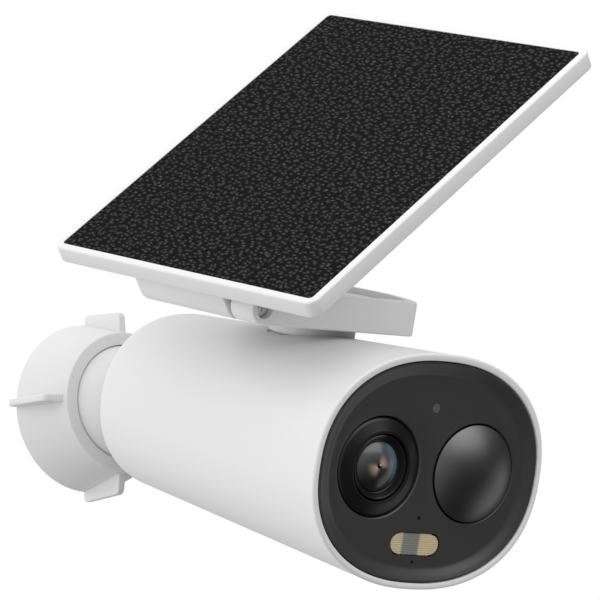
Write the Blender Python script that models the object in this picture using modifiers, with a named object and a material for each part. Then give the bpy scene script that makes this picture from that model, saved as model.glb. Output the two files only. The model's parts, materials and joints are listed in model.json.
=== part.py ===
"""Solar-powered security camera: a tapered oval camera body on a ball joint that a winged collar nut
clamps to a round wall base, with a hinged solar panel on an arm that turns on top of the body.

World frame: metres, +Z up. The origin is the centre of the wall base's back face, and the wall is the
plane Y = 0, so the camera reaches towards -Y. Sub-assemblies are built in their own frames:

    ball_frame     at the ball centre, -Y away from the wall
    camera_frame   on the front face, midway between the lens and the motion sensor, +Y to the rear
    arm_frame      on the body's crown at the neck, +X along the arm, +Z up from the body
    hinge_frame    on the panel hinge, +X up the panel's slope, +Z out of the panel's face
"""

import math

import bmesh
import bpy
from mathutils import Euler, Matrix, Vector

# ---------------------------------------------------------------- driving dimensions, metres
GAP = 0.0003
PAST = 0.001  # how far a cutter passes a surface
PAN_REST = math.radians(1.3)
TILT_REST = math.radians(15.15)
ARM_REST = math.radians(8.7)
PANEL_REST = math.radians(39.3)

BALL_R = 0.0159
BALL_OUT = 0.0198
BALL_FLAT = 0.0095
NECK_R = 0.0095
STUD_R = 0.004
STUD_REACH = 0.0115
STUD_CHAMFER = 0.0006
INSERT_R = 0.0052
INSERT_BORE_R = 0.0058
NUT_R = 0.0078
NUT_H = 0.004
FACE_TO_BALL = 0.1339
BALL_DROP = 0.0066

BASE_R = 0.020
BASE_T = 0.0039
CUP_R = 0.0184
CUP_BORE = 0.0169
CUP_END = 0.0173
WALL_HOLE_RING = 0.0105
WALL_HOLE_R = 0.0021
SEAT_LOW = 0.0068
COLLAR_BACK = 0.0042
COLLAR_FRONT = 0.0238
COLLAR_BACK_R = 0.02306
COLLAR_FRONT_R = 0.0191
COLLAR_MOUTH_R = 0.0157
WING_T = 0.0019
WING_END = 0.0217

SHELL_FRONT = -0.0016
SHELL_SHOULDER = 0.1025
SHELL_FILLET = 0.00585
SHELL_WALL = 0.0022
FRONT_A, FRONT_B, FRONT_N, FRONT_Z = 0.03546, 0.02913, 2.29, -0.00015
REAR_A, REAR_B, REAR_N, REAR_Z = 0.02621, 0.02369, 2.17, -0.00084
MOUTH_A, MOUTH_B, MOUTH_N, MOUTH_Z = 0.0339, 0.02742, 2.27, -0.00029
MOUTH_DEPTH = 0.0024
COVER_BAND_SIDE = 0.0039
COVER_BAND_TOP = 0.0034
COVER_T = 0.002

EYE_X = 0.01488
EYE_HOLE_R = 0.0125
LED_Z = -0.0183
LED_HALF_L = 0.0077
LED_HALF_H = 0.0028
LIGHT_Z = 0.0154
MIC_ZS = (-0.0118, -0.02274)
MIC_RS = (0.0005, 0.0004)
LIGHT_HOLE_R = 0.0013
GLASS_R = 0.006
GLASS_DOME_R = 0.0105
DOME_EDGE_R = 0.0120
DOME_R = 0.0185
DOME_T = 0.0012

NECK_Y = 0.0537
TURRET_R = 0.011
TURRET_HOLE_R = 0.01135
ARM_LOW = 0.003
ARM_H = 0.0088
ARM_HALF_D = 0.020
ARM_END_R = 0.027
ARM_END_X = -0.0025
HINGE_X = -0.0386
KNUCKLE_R = 0.0044
EAR_INNER = 0.012
REAR_EAR = (0.010, 0.0145)
REAR_EAR_R = 0.003
BOLT_R = 0.0015
BOLT_HOLE_R = 0.0018
BOLT_HEAD_R = 0.0026
COUNTERBORE_R = 0.0029
COUNTERBORE_DEPTH = 0.0035
ARM_WALL = 0.002
ARM_ROOF = 0.0028
POCKET_DEPTH = 0.0016
POCKET_INSET = 0.003
POCKET_START = -0.024
NECK_SCREW_RING = 0.0062

PANEL_X = 0.04905
PANEL_FACE_Z = 0.01044
PANEL_L = 0.1114
PANEL_W = 0.093
PANEL_BORDER = 0.002
PANEL_BACK_Z = 0.00624
PANEL_RIM_Z = 0.01084
PANEL_CORNER_R = 0.0032
BRACKET_T = 0.0013
BRACKET_END = 0.026
BRACKET_SCREW_XS = (0.011, 0.022)
BRACKET_SCREW_YS = (-0.007, 0.0135)
BLOCK_FRONT = 0.011
BLOCK_REAR = 0.0208

CELL_R = 0.0092
CELL_L = 0.065
CELL_START = 0.032
HATCH_Y = (0.066, 0.090)
HATCH_HALF_W = 0.0055
BUTTON_Y = 0.0705
SPEAKER_Y = 0.048
SPEAKER_RING = 0.0035
SPEAKER_HOLE_R = 0.0007

WHITE = (0.80, 0.80, 0.80)
BLACK = (0.03, 0.03, 0.03)
DARK = (0.012, 0.012, 0.013)
GREEN = (0.03, 0.16, 0.08)
STEEL = (0.55, 0.55, 0.56)


# ---------------------------------------------------------------- scene and materials
def clear_scene():
    """Removes whatever the scene holds."""
    for obj in list(bpy.data.objects):
        bpy.data.objects.remove(obj, do_unlink=True)


def collection(name):
    """Makes a collection in the scene."""
    made = bpy.data.collections.new(name)
    bpy.context.scene.collection.children.link(made)
    return made


clear_scene()
PARTS = collection("solar_security_camera")
CUTTERS = collection("cutters")


def material(name, colour, roughness=0.45, metallic=0.0):
    """A Principled material, made once for each name."""
    made = bpy.data.materials.get(name)
    if made is None:
        made = bpy.data.materials.new(name)
        made.use_nodes = True
        shader = made.node_tree.nodes["Principled BSDF"]
        shader.inputs["Base Color"].default_value = (*colour, 1.0)
        shader.inputs["Roughness"].default_value = roughness
        shader.inputs["Metallic"].default_value = metallic
    return made


def frame(name, location, rotation=(0.0, 0.0, 0.0), parent=None):
    """An empty that carries a sub-assembly."""
    empty = bpy.data.objects.new(name, None)
    PARTS.objects.link(empty)
    empty.parent = parent
    empty.location = location
    empty.rotation_euler = rotation
    return empty


# ---------------------------------------------------------------- shape helpers
def finish(obj, finish_material, angle=35.0):
    """Gives a part its material and smooth shading with sharp edges."""
    obj.data.materials.clear()
    obj.data.materials.append(finish_material)
    obj.data.shade_smooth()
    obj.data.set_sharp_from_angle(angle=math.radians(angle))
    return obj


def mesh_object(name, bm, parent=None, cutter=False):
    """Turns a bmesh into an object in the parts or the cutters collection."""
    bmesh.ops.recalc_face_normals(bm, faces=bm.faces)
    mesh = bpy.data.meshes.new(name)
    bm.to_mesh(mesh)
    bm.free()
    obj = bpy.data.objects.new(name, mesh)
    (CUTTERS if cutter else PARTS).objects.link(obj)
    obj.parent = parent
    if cutter:
        obj.hide_render = True
        obj.display_type = "WIRE"
    return obj


def axis_matrix(centre, axis):
    """Puts +Z along an axis at a centre."""
    turn = Vector((0.0, 0.0, 1.0)).rotation_difference(Vector(axis)).to_matrix().to_4x4()
    return Matrix.Translation(Vector(centre)) @ turn


def add_cylinder(bm, start, end, radius, segments=32):
    """Adds a closed cylinder between two points."""
    start, end = Vector(start), Vector(end)
    bmesh.ops.create_cone(
        bm,
        cap_ends=True,
        segments=segments,
        radius1=radius,
        radius2=radius,
        depth=(end - start).length,
        matrix=axis_matrix((start + end) / 2.0, end - start),
    )


def add_box(bm, low, high):
    """Adds a closed box between two corners."""
    low, high = Vector(low), Vector(high)
    size = high - low
    place = Matrix.Translation((low + high) / 2.0) @ Matrix.Diagonal((*size, 1.0))
    bmesh.ops.create_cube(bm, size=1.0, matrix=place)


def cylinders(name, spans, radius, parent=None, cutter=False, segments=32):
    """One object holding a cylinder for each (start, end) span."""
    bm = bmesh.new()
    for start, end in spans:
        add_cylinder(bm, start, end, radius, segments=segments)
    return mesh_object(name, bm, parent, cutter)


def box(name, low, high, parent=None, cutter=False, bevel=0.0):
    """A box, with rounded edges where a bevel is given."""
    bm = bmesh.new()
    add_box(bm, low, high)
    if bevel:
        bmesh.ops.bevel(bm, geom=bm.edges[:], offset=bevel, segments=2, profile=0.5, affect="EDGES")
    return mesh_object(name, bm, parent, cutter)


def screw(name, head_start, head_end, head_r, tip, shank_r, parent):
    """A cheese-head screw along the line from the head's top to the tip."""
    body = cylinders(name, [(head_start, head_end)], head_r, parent, segments=16)
    inside = Vector(head_start).lerp(Vector(head_end), 0.5)
    boolean(body, cylinders(name + "_shank", [(inside, tip)], shank_r, parent, True, 12), "UNION")
    return finish(body, METAL)


def turned(name, profile, parent=None, centre=(0, 0, 0), rotation=(0, 0, 0), steps=32, cutter=False):
    """A closed (radius, height) outline turned about local Z. An open one starts and ends on the axis."""
    closed = profile[0][0] > 0.0
    bm = bmesh.new()
    points = [bm.verts.new((radius, 0.0, height)) for radius, height in profile]
    for first, second in zip(points, points[1:]):
        bm.edges.new((first, second))
    if closed:
        bm.edges.new((points[-1], points[0]))
    mesh = bpy.data.meshes.new(name)
    bm.to_mesh(mesh)
    bm.free()
    obj = bpy.data.objects.new(name, mesh)
    (CUTTERS if cutter else PARTS).objects.link(obj)
    obj.parent = parent
    obj.location = centre
    obj.rotation_euler = rotation
    screw = obj.modifiers.new("Turn", "SCREW")
    screw.steps = steps
    screw.render_steps = steps
    screw.use_merge_vertices = True
    screw.merge_threshold = 0.00001
    screw.use_smooth_shade = True
    if cutter:
        obj.hide_render = True
        obj.display_type = "WIRE"
    return obj


def plate(name, outline, low, high, parent=None, rotation=(0, 0, 0), cutter=False):
    """A flat outline as a filled 2D curve, extruded between two local heights and made a mesh."""
    curve = bpy.data.curves.new(name, "CURVE")
    curve.dimensions = "2D"
    curve.fill_mode = "BOTH"
    curve.extrude = (high - low) / 2.0
    spline = curve.splines.new("POLY")
    spline.points.add(len(outline) - 1)
    for point, (x, y) in zip(spline.points, outline):
        point.co = (x, y, 0.0, 1.0)
    spline.use_cyclic_u = True
    source = bpy.data.objects.new(name + "_outline", curve)
    CUTTERS.objects.link(source)
    bpy.context.view_layer.update()
    graph = bpy.context.evaluated_depsgraph_get()
    mesh = bpy.data.meshes.new_from_object(source.evaluated_get(graph))
    bpy.data.objects.remove(source, do_unlink=True)
    bm = bmesh.new()
    bm.from_mesh(mesh)
    bpy.data.meshes.remove(mesh)
    bmesh.ops.remove_doubles(bm, verts=bm.verts, dist=0.000001)
    bmesh.ops.translate(bm, verts=bm.verts, vec=(0.0, 0.0, (low + high) / 2.0))
    bmesh.ops.transform(bm, matrix=Euler(rotation).to_matrix().to_4x4(), verts=bm.verts)
    return mesh_object(name, bm, parent, cutter)


def boolean(obj, other, operation="DIFFERENCE"):
    """Cuts or joins a part with another object, with the exact solver."""
    modifier = obj.modifiers.new(operation.title(), "BOOLEAN")
    modifier.operation = operation
    modifier.solver = "EXACT"
    modifier.object = other
    if other.name not in CUTTERS.objects:
        PARTS.objects.unlink(other)
        CUTTERS.objects.link(other)
        other.hide_render = True
        other.display_type = "WIRE"
    return obj


def arc(centre, radius, start, end, count):
    """Points on an arc, with both ends, angles in degrees."""
    points = []
    for step in range(count + 1):
        angle = math.radians(start + (end - start) * step / count)
        points.append((centre[0] + radius * math.cos(angle), centre[1] + radius * math.sin(angle)))
    return points


def rounded_rectangle(half_x, half_y, radius, count=5, centre=(0.0, 0.0)):
    """A rectangle outline with round corners."""
    points = []
    for sign_x, sign_y, start in ((1, 1, 0), (-1, 1, 90), (-1, -1, 180), (1, -1, 270)):
        corner = (centre[0] + sign_x * (half_x - radius), centre[1] + sign_y * (half_y - radius))
        points += arc(corner, radius, start, start + 90, count)
    return points


def stadium(half_length, half_height, count=8, centre=(0.0, 0.0)):
    """A slot outline with half-round ends."""
    reach = half_length - half_height
    right = arc((centre[0] + reach, centre[1]), half_height, -90, 90, count)
    left = arc((centre[0] - reach, centre[1]), half_height, 90, 270, count)
    return right + left


def superellipse(half_x, half_z, power, centre_z=0.0, count=48):
    """An oval outline (x, z) between an ellipse and a rectangle."""
    points = []
    for step in range(count):
        angle = 2.0 * math.pi * step / count
        cosine, sine = math.cos(angle), math.sin(angle)
        reach = (abs(cosine) ** power + abs(sine) ** power) ** (-1.0 / power)
        points.append((half_x * cosine * reach, centre_z + half_z * sine * reach))
    return points


def loft(name, sections, parent=None, cutter=False):
    """A closed skin through (y, outline) sections that have the same number of points."""
    bm = bmesh.new()
    rings = [[bm.verts.new((x, y, z)) for x, z in outline] for y, outline in sections]
    for near, far in zip(rings, rings[1:]):
        for index in range(len(near)):
            following = (index + 1) % len(near)
            bm.faces.new((near[index], near[following], far[following], far[index]))
    bm.faces.new(rings[0])
    bm.faces.new(rings[-1])
    return mesh_object(name, bm, parent, cutter)


def sphere_arc(radius, start, end, count, centre=0.0):
    """(radius, height) points on a circle about the turning axis. Angles start at the +Z pole."""
    points = []
    for step in range(count + 1):
        angle = math.radians(start + (end - start) * step / count)
        points.append((max(radius * math.sin(angle), 0.0), centre + radius * math.cos(angle)))
    return points


FACE_FRONT = (math.radians(90.0), 0.0, 0.0)
PLASTIC_WHITE = material("white_plastic", WHITE, 0.42)
PLASTIC_BLACK = material("black_plastic", BLACK, 0.35)
RUBBER = material("black_rubber", DARK, 0.8)
PALE_RUBBER = material("grey_rubber", (0.55, 0.55, 0.55), 0.7)
METAL = material("steel", STEEL, 0.3, 1.0)
BOARD = material("circuit_board", GREEN, 0.5)


# ---------------------------------------------------------------- wall mount
def wall_base():
    """Round plate against the wall with the threaded cup that the collar screws on."""
    bm = bmesh.new()
    add_cylinder(bm, (0, 0, 0), (0, -BASE_T, 0), BASE_R, segments=40)
    base = mesh_object("wall_base", bm)
    wall = [(CUP_R, CUP_END), (CUP_R, BASE_T / 2), (CUP_BORE, BASE_T / 2), (CUP_BORE, CUP_END)]
    cup = turned("wall_cup", wall, rotation=FACE_FRONT, steps=40, cutter=True)
    boolean(base, cup, "UNION")
    spans = []
    for index in range(3):
        angle = math.radians(90.0 + 120.0 * index)
        x, z = WALL_HOLE_RING * math.cos(angle), WALL_HOLE_RING * math.sin(angle)
        spans.append(((x, PAST, z), (x, -BASE_T - PAST, z)))
    boolean(base, cylinders("wall_screw_holes", spans, WALL_HOLE_R, cutter=True, segments=20))
    return finish(base, PLASTIC_WHITE)


def slip_seat():
    """Low-friction ring that backs the ball inside the cup."""
    inner = [(radius, BALL_OUT + height) for radius, height in
             sphere_arc(BALL_R + GAP, 107.0, 134.0, 4)]
    outer = CUP_BORE - GAP
    profile = [(outer, inner[0][1]), (outer, SEAT_LOW), (inner[-1][0], SEAT_LOW)] + inner[::-1]
    seat = turned("slip_seat", profile, rotation=FACE_FRONT, steps=28)
    return finish(seat, material("slip_plastic", (0.6, 0.6, 0.58), 0.3))


def collar_nut():
    """Winged conical nut that clamps the ball against the seat."""
    inner_r = CUP_R + GAP
    lip = CUP_END + GAP
    mouth = [(radius, BALL_OUT + height) for radius, height in
             sphere_arc(BALL_R + GAP, 76.0, 97.0, 2)]
    profile = [
        (COLLAR_MOUTH_R, COLLAR_FRONT), (COLLAR_FRONT_R - 0.0005, COLLAR_FRONT),
        (COLLAR_FRONT_R, COLLAR_FRONT - 0.0006), (COLLAR_BACK_R, COLLAR_BACK + 0.0008),
        (COLLAR_BACK_R - 0.0008, COLLAR_BACK), (inner_r, COLLAR_BACK), (inner_r, lip),
        (mouth[-1][0], lip),
    ]
    profile += mouth[:0:-1]
    nut = turned("collar_nut", profile, rotation=FACE_FRONT, steps=44)
    side = [(COLLAR_BACK + 0.0004, 0.0197), (COLLAR_BACK + 0.0004, 0.0252), (COLLAR_BACK + 0.0013, 0.0259),
            (WING_END - 0.0012, 0.0248), (WING_END, 0.0238), (WING_END + 0.0006, 0.0185)]
    for index in range(4):
        wing = plate(f"wing_{index}", side, -WING_T / 2, WING_T / 2, cutter=True)
        bm = bmesh.new()
        bm.from_mesh(wing.data)
        # The outline's x is the height off the wall and its y the radius.
        stand = Matrix(((0, 0, 1, 0), (-1, 0, 0, 0), (0, 1, 0, 0), (0, 0, 0, 1)))
        turn = Matrix.Rotation(math.radians(90.0 * index), 4, "Y")
        bmesh.ops.transform(bm, matrix=turn @ stand, verts=bm.verts)
        bmesh.ops.recalc_face_normals(bm, faces=bm.faces)
        bm.to_mesh(wing.data)
        bm.free()
        boolean(nut, wing, "UNION")
    return finish(nut, PLASTIC_WHITE)


# ---------------------------------------------------------------- ball joint
def ball_core(parent):
    """Steel insert at the centre of the ball."""
    bm = bmesh.new()
    bmesh.ops.create_uvsphere(bm, u_segments=12, v_segments=7, radius=INSERT_R)
    return finish(mesh_object("ball_core", bm, parent), METAL)


def ball_stud(parent):
    """Ball, neck and threaded stud in one moulding, with a bore for the insert."""
    reach = FACE_TO_BALL - SHELL_SHOULDER - SHELL_FILLET - GAP
    flat_angle = 180.0 - math.degrees(math.acos(BALL_FLAT / BALL_R))
    neck_angle = math.degrees(math.asin(NECK_R / BALL_R))
    tip = reach + STUD_REACH
    profile = [(0.0, tip), (STUD_R - STUD_CHAMFER, tip), (STUD_R, tip - STUD_CHAMFER), (STUD_R, reach),
               (NECK_R, reach)]
    profile += sphere_arc(BALL_R, neck_angle, flat_angle, 9)
    profile += [(INSERT_BORE_R, -BALL_FLAT)]
    profile += sphere_arc(INSERT_BORE_R, 90.0, 0.0, 3)
    stud = turned("ball_stud", profile, parent, rotation=FACE_FRONT, steps=32)
    return finish(stud, PLASTIC_WHITE)


def stud_nut(parent):
    """Hexagon nut on the stud, inside the body's rear wall."""
    outside = FACE_TO_BALL - SHELL_SHOULDER - SHELL_FILLET
    seat = outside + SHELL_WALL + 0.0008
    bm = bmesh.new()
    add_cylinder(bm, (0, -seat, 0), (0, -seat - NUT_H, 0), NUT_R, segments=6)
    nut = mesh_object("stud_nut", bm, parent)
    hole = cylinders("stud_nut_hole", [((0, 0, 0), (0, -0.05, 0))], STUD_R + GAP, parent, True, 24)
    boolean(nut, hole)
    return finish(nut, METAL)


# ---------------------------------------------------------------- camera body
def shell_at(y):
    """(half width, half height, power, centre height) of the outer skin at a distance behind the face."""
    share = (y - SHELL_FRONT) / (SHELL_SHOULDER - SHELL_FRONT)
    low = (FRONT_A, FRONT_B, FRONT_N, FRONT_Z)
    high = (REAR_A, REAR_B, REAR_N, REAR_Z)
    return [near + (far - near) * share for near, far in zip(low, high)]


def crown_at(y):
    """Height of the top of the outer skin."""
    _, half_height, _, centre = shell_at(y)
    return centre + half_height


def skin_sections(inset, first, shoulder, fillet, stations=2):
    """Sections of the body's skin, moved in by an inset, with a round rear edge."""
    sections = []
    for step in range(stations + 1):
        y = first + (shoulder - first) * step / stations
        half_x, half_z, power, centre = shell_at(y)
        sections.append((y, superellipse(half_x - inset, half_z - inset, power, centre)))
    half_x, half_z, power, centre = shell_at(shoulder)
    for step in range(1, 4):
        angle = math.radians(30.0 * step)
        back = fillet * (1.0 - math.cos(angle))
        outline = superellipse(half_x - inset - back, half_z - inset - back, power, centre)
        sections.append((shoulder + fillet * math.sin(angle), outline))
    return sections


def main_shell(parent):
    """Tapered oval housing, open at the front, with the neck, stud, hatch and speaker holes."""
    sections = skin_sections(0.0, SHELL_FRONT + 0.0006, SHELL_SHOULDER, SHELL_FILLET)
    half_x, half_z, power, centre = shell_at(SHELL_FRONT)
    lip = superellipse(half_x - 0.0006, half_z - 0.0006, power, centre)
    shell = loft("main_shell", [(SHELL_FRONT, lip)] + sections, parent)
    inner = skin_sections(SHELL_WALL, MOUTH_DEPTH, SHELL_SHOULDER, SHELL_FILLET - SHELL_WALL)
    mouth = superellipse(MOUTH_A, MOUTH_B, MOUTH_N, MOUTH_Z)
    front = [(SHELL_FRONT - 0.001, mouth), (MOUTH_DEPTH - 0.0001, mouth)]
    boolean(shell, loft("shell_cavity", front + inner, parent, True))
    crown = crown_at(NECK_Y)
    spans = [((0, NECK_Y, crown - 0.008), (0, NECK_Y, crown + 0.004))]
    boolean(shell, cylinders("neck_hole", spans, TURRET_HOLE_R, parent, True, 28))
    spans = [((0, SHELL_SHOULDER, -BALL_DROP), (0, SHELL_SHOULDER + 0.01, -BALL_DROP))]
    boolean(shell, cylinders("stud_hole", spans, STUD_R + GAP, parent, True, 24))
    hatch = box("hatch_hole", (-HATCH_HALF_W, HATCH_Y[0], -0.03), (HATCH_HALF_W, HATCH_Y[1], -0.019),
                parent, True)
    boolean(shell, hatch)
    spans = []
    for index in range(7):
        angle = math.radians(60.0 * index)
        reach = 0.0 if index == 6 else SPEAKER_RING
        x, y = reach * math.cos(angle), SPEAKER_Y + reach * math.sin(angle)
        spans.append(((x, y, -0.032), (x, y, -0.021)))
    boolean(shell, cylinders("speaker_holes", spans, SPEAKER_HOLE_R, parent, True, 10))
    return finish(shell, PLASTIC_WHITE)


def front_gasket(parent):
    """Rubber ring between the cover and the ledge of the shell."""
    outer = superellipse(MOUTH_A - 0.0016, MOUTH_B - 0.0016, MOUTH_N, MOUTH_Z)
    inner = superellipse(MOUTH_A - 0.0036, MOUTH_B - 0.0036, MOUTH_N, MOUTH_Z)
    low, high = COVER_T + GAP, COVER_T + GAP + 0.0012
    ring = loft("front_gasket", [(low, outer), (high, outer)], parent)
    boolean(ring, loft("gasket_hole", [(low - 0.001, inner), (high + 0.001, inner)], parent, True))
    return finish(ring, RUBBER)


def front_cover(parent):
    """Black dished cover with a sloping band and the holes for the eyes, light and microphones."""
    rim = MOUTH_A - GAP, MOUTH_B - GAP
    outer = superellipse(rim[0], rim[1], MOUTH_N, MOUTH_Z)
    cover = loft("front_cover", [(SHELL_FRONT + 0.0002, outer), (COVER_T, outer)], parent)
    wide = superellipse(rim[0] - 0.0004, rim[1] - 0.0004, MOUTH_N, MOUTH_Z)
    flat = superellipse(rim[0] - COVER_BAND_SIDE, rim[1] - COVER_BAND_TOP, MOUTH_N, MOUTH_Z)
    dish = [(SHELL_FRONT - 0.001, wide), (SHELL_FRONT + 0.0002, wide), (0.0, flat)]
    boolean(cover, loft("cover_dish", dish, parent, True))
    bm = bmesh.new()
    for x in (-EYE_X, EYE_X):
        add_cylinder(bm, (x, -0.003, 0), (x, 0.004, 0), EYE_HOLE_R, segments=32)
    add_cylinder(bm, (0, -0.003, LIGHT_Z), (0, 0.004, LIGHT_Z), LIGHT_HOLE_R, segments=16)
    for z, radius in zip(MIC_ZS, MIC_RS):
        add_cylinder(bm, (0, -0.003, z), (0, 0.004, z), radius, segments=12)
    boolean(cover, mesh_object("cover_holes", bm, parent, True))
    slot = stadium(LED_HALF_L, LED_HALF_H, centre=(0.0, LED_Z))
    boolean(cover, plate("light_slot", slot, -0.004, 0.004, parent, rotation=FACE_FRONT, cutter=True))
    return finish(cover, PLASTIC_BLACK)


def lens_parts(parent):
    """Funnel bezel, barrel, front glass, holder and image sensor board."""
    eye = (-EYE_X, 0.0, 0.0)
    bezel = [(0.0116, -0.0002), (0.0122, -0.0006), (0.0122, -0.0030), (0.0098, -0.0042), (0.0085, -0.0042),
             (0.0083, 0.0004), (0.0087, 0.0009), (0.0090, 0.0008)]
    finish(turned("lens_bezel", bezel, parent, eye, FACE_FRONT), PLASTIC_BLACK)
    barrel = [(0.0, -0.0024), (0.0063, -0.0024), (0.0063, -0.0008), (0.0070, -0.0006), (0.0075, 0.0003),
              (0.0077, 0.0), (0.0076, -0.0060), (0.0069, -0.0064), (0.0069, -0.0190), (0.0, -0.0190)]
    finish(turned("lens_barrel", barrel, parent, eye, FACE_FRONT), PLASTIC_BLACK)
    half = math.asin(GLASS_R / GLASS_DOME_R)
    centre = -0.0010 - GLASS_DOME_R * math.cos(half)
    cap = sphere_arc(GLASS_DOME_R, 0.0, math.degrees(half), 6, centre)
    glass = cap + [(GLASS_R, -0.0021), (0.0, -0.0021)]
    finish(turned("lens_glass", glass, parent, eye, FACE_FRONT), material("lens", (0.02, 0.03, 0.04), 0.05))
    holder = box("lens_holder", (-EYE_X - 0.009, 0.0163, -0.009), (-EYE_X + 0.009, 0.0202, 0.009), parent)
    spans = [((-EYE_X, 0.010, 0), (-EYE_X, 0.030, 0))]
    boolean(holder, cylinders("lens_holder_bore", spans, 0.0072, parent, True, 32))
    finish(holder, PLASTIC_BLACK)
    board = box("sensor_board", (-EYE_X - 0.011, 0.0205, -0.011), (-EYE_X + 0.011, 0.0219, 0.011), parent)
    finish(board, BOARD)


def motion_sensor(parent):
    """Black dome over the passive infrared sensor can."""
    half = math.degrees(math.asin(DOME_EDGE_R / DOME_R))
    centre = -DOME_R * math.cos(math.radians(half))
    outside = sphere_arc(DOME_R, 0.0, half, 6, centre)
    inside = sphere_arc(DOME_R - DOME_T, half * 0.9, 0.0, 4, centre)
    profile = outside + [(DOME_EDGE_R, -0.0030), (inside[0][0], -0.0030)] + inside
    dome = turned("pir_dome", profile, parent, (EYE_X, 0.0, 0.0), FACE_FRONT)
    finish(dome, material("black_dome", DARK, 0.12))
    spans = [((EYE_X, 0.0068, 0), (EYE_X, 0.0117, 0))]
    finish(cylinders("pir_sensor", spans, 0.0046, parent, segments=24), METAL)


def front_electronics(parent):
    """Light window, light board, light guide, microphone, front board and chassis plate."""
    slot = stadium(LED_HALF_L - GAP, LED_HALF_H - GAP, centre=(0.0, LED_Z))
    window = plate("led_window", slot, -0.0018, -0.0002, parent, rotation=FACE_FRONT)
    finish(window, material("warm_window", (0.45, 0.40, 0.28), 0.25))
    lamp = box("led_board", (-0.008, 0.0066, LED_Z - 0.0032), (0.008, 0.0078, LED_Z + 0.0032), parent)
    for side in (-1, 1):
        x = side * 0.005
        chip = box(f"led_chip_{side + 1}", (x - 0.0014, 0.0053, LED_Z - 0.0014),
                   (x + 0.0014, 0.0070, LED_Z + 0.0014), parent, True)
        boolean(lamp, chip, "UNION")
    finish(lamp, BOARD)
    guide = [((0, 0.0002, LIGHT_Z), (0, 0.0105, LIGHT_Z))]
    finish(cylinders("light_guide", guide, 0.0008, parent, segments=14), material("clear_guide", WHITE, 0.1))
    finish(box("microphone", (-0.002, 0.0025, -0.0132), (0.002, 0.0037, -0.0104), parent), METAL)
    board = superellipse(0.0285, 0.0225, MOUTH_N, MOUTH_Z, 28)
    front = loft("front_board", [(0.0120, board), (0.0134, board)], parent)
    plate_outline = superellipse(0.0300, 0.0240, MOUTH_N, MOUTH_Z, 28)
    chassis = loft("inner_chassis", [(0.0140, plate_outline), (0.0160, plate_outline)], parent)
    spans = [((-EYE_X, 0.008, 0), (-EYE_X, 0.018, 0))]
    boolean(front, cylinders("board_lens_hole", spans, 0.0082, parent, True, 32))
    boolean(chassis, cylinders("chassis_lens_hole", spans, 0.0076, parent, True, 32))
    places = ((0.0215, 0.0125), (0.0215, -0.0135), (-0.0025, 0.0185), (-0.0120, -0.0175))
    hole_spans = [((x, 0.005, z), (x, 0.018, z)) for x, z in places]
    boolean(front, cylinders("board_screw_holes", hole_spans, 0.0014, parent, True, 12))
    boolean(chassis, cylinders("chassis_screw_holes", hole_spans, 0.0014, parent, True, 12))
    finish(front, BOARD)
    finish(chassis, PLASTIC_WHITE)
    for index, (x, z) in enumerate(places, 1):
        screw(f"chassis_screw_{index}", (x, 0.0105, z), (x, 0.0117, z), 0.0021, (x, 0.019, z), 0.001, parent)


def power_parts(parent):
    """Two battery cells in a cradle, the main board with its shield can, speaker and aerial."""
    z = -0.002
    places = (-CELL_R - 0.0004, CELL_R + 0.0004)
    for index, x in enumerate(places, 1):
        cell = cylinders(f"battery_cell_{index}", [((x, CELL_START, z), (x, CELL_START + CELL_L, z))], CELL_R,
                         parent, segments=28)
        tip = [((x, CELL_START - 0.0012, z), (x, CELL_START + 0.001, z))]
        boolean(cell, cylinders(f"battery_tip_{index}", tip, 0.003, parent, True, 16), "UNION")
        finish(cell, material("cell_wrap", (0.05, 0.13, 0.35), 0.4))
    cradle = box("battery_cradle", (-0.0185, CELL_START + 0.003, -0.0135), (0.0185, 0.094, -0.0045), parent)
    bays = [((x, CELL_START - 0.01, z), (x, CELL_START + CELL_L + 0.01, z)) for x in places]
    for index, bay in enumerate(bays):
        boolean(cradle, cylinders(f"battery_bay_{index}", [bay], CELL_R + GAP, parent, True, 28))
    finish(cradle, PLASTIC_WHITE)
    finish(box("main_board", (-0.017, 0.030, 0.0095), (0.017, 0.092, 0.0111), parent), BOARD)
    finish(box("shield_can", (-0.009, 0.070, 0.0114), (0.009, 0.088, 0.0140), parent, bevel=0.0004),
           METAL)
    speaker = [((0, SPEAKER_Y, -0.0205), (0, SPEAKER_Y, -0.0165))]
    finish(cylinders("speaker", speaker, 0.009, parent, segments=28), PLASTIC_BLACK)
    finish(box("aerial", (-0.010, 0.0255, 0.0125), (0.010, 0.0261, 0.0195), parent),
           material("aerial_flex", (0.35, 0.2, 0.03), 0.35))


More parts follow.
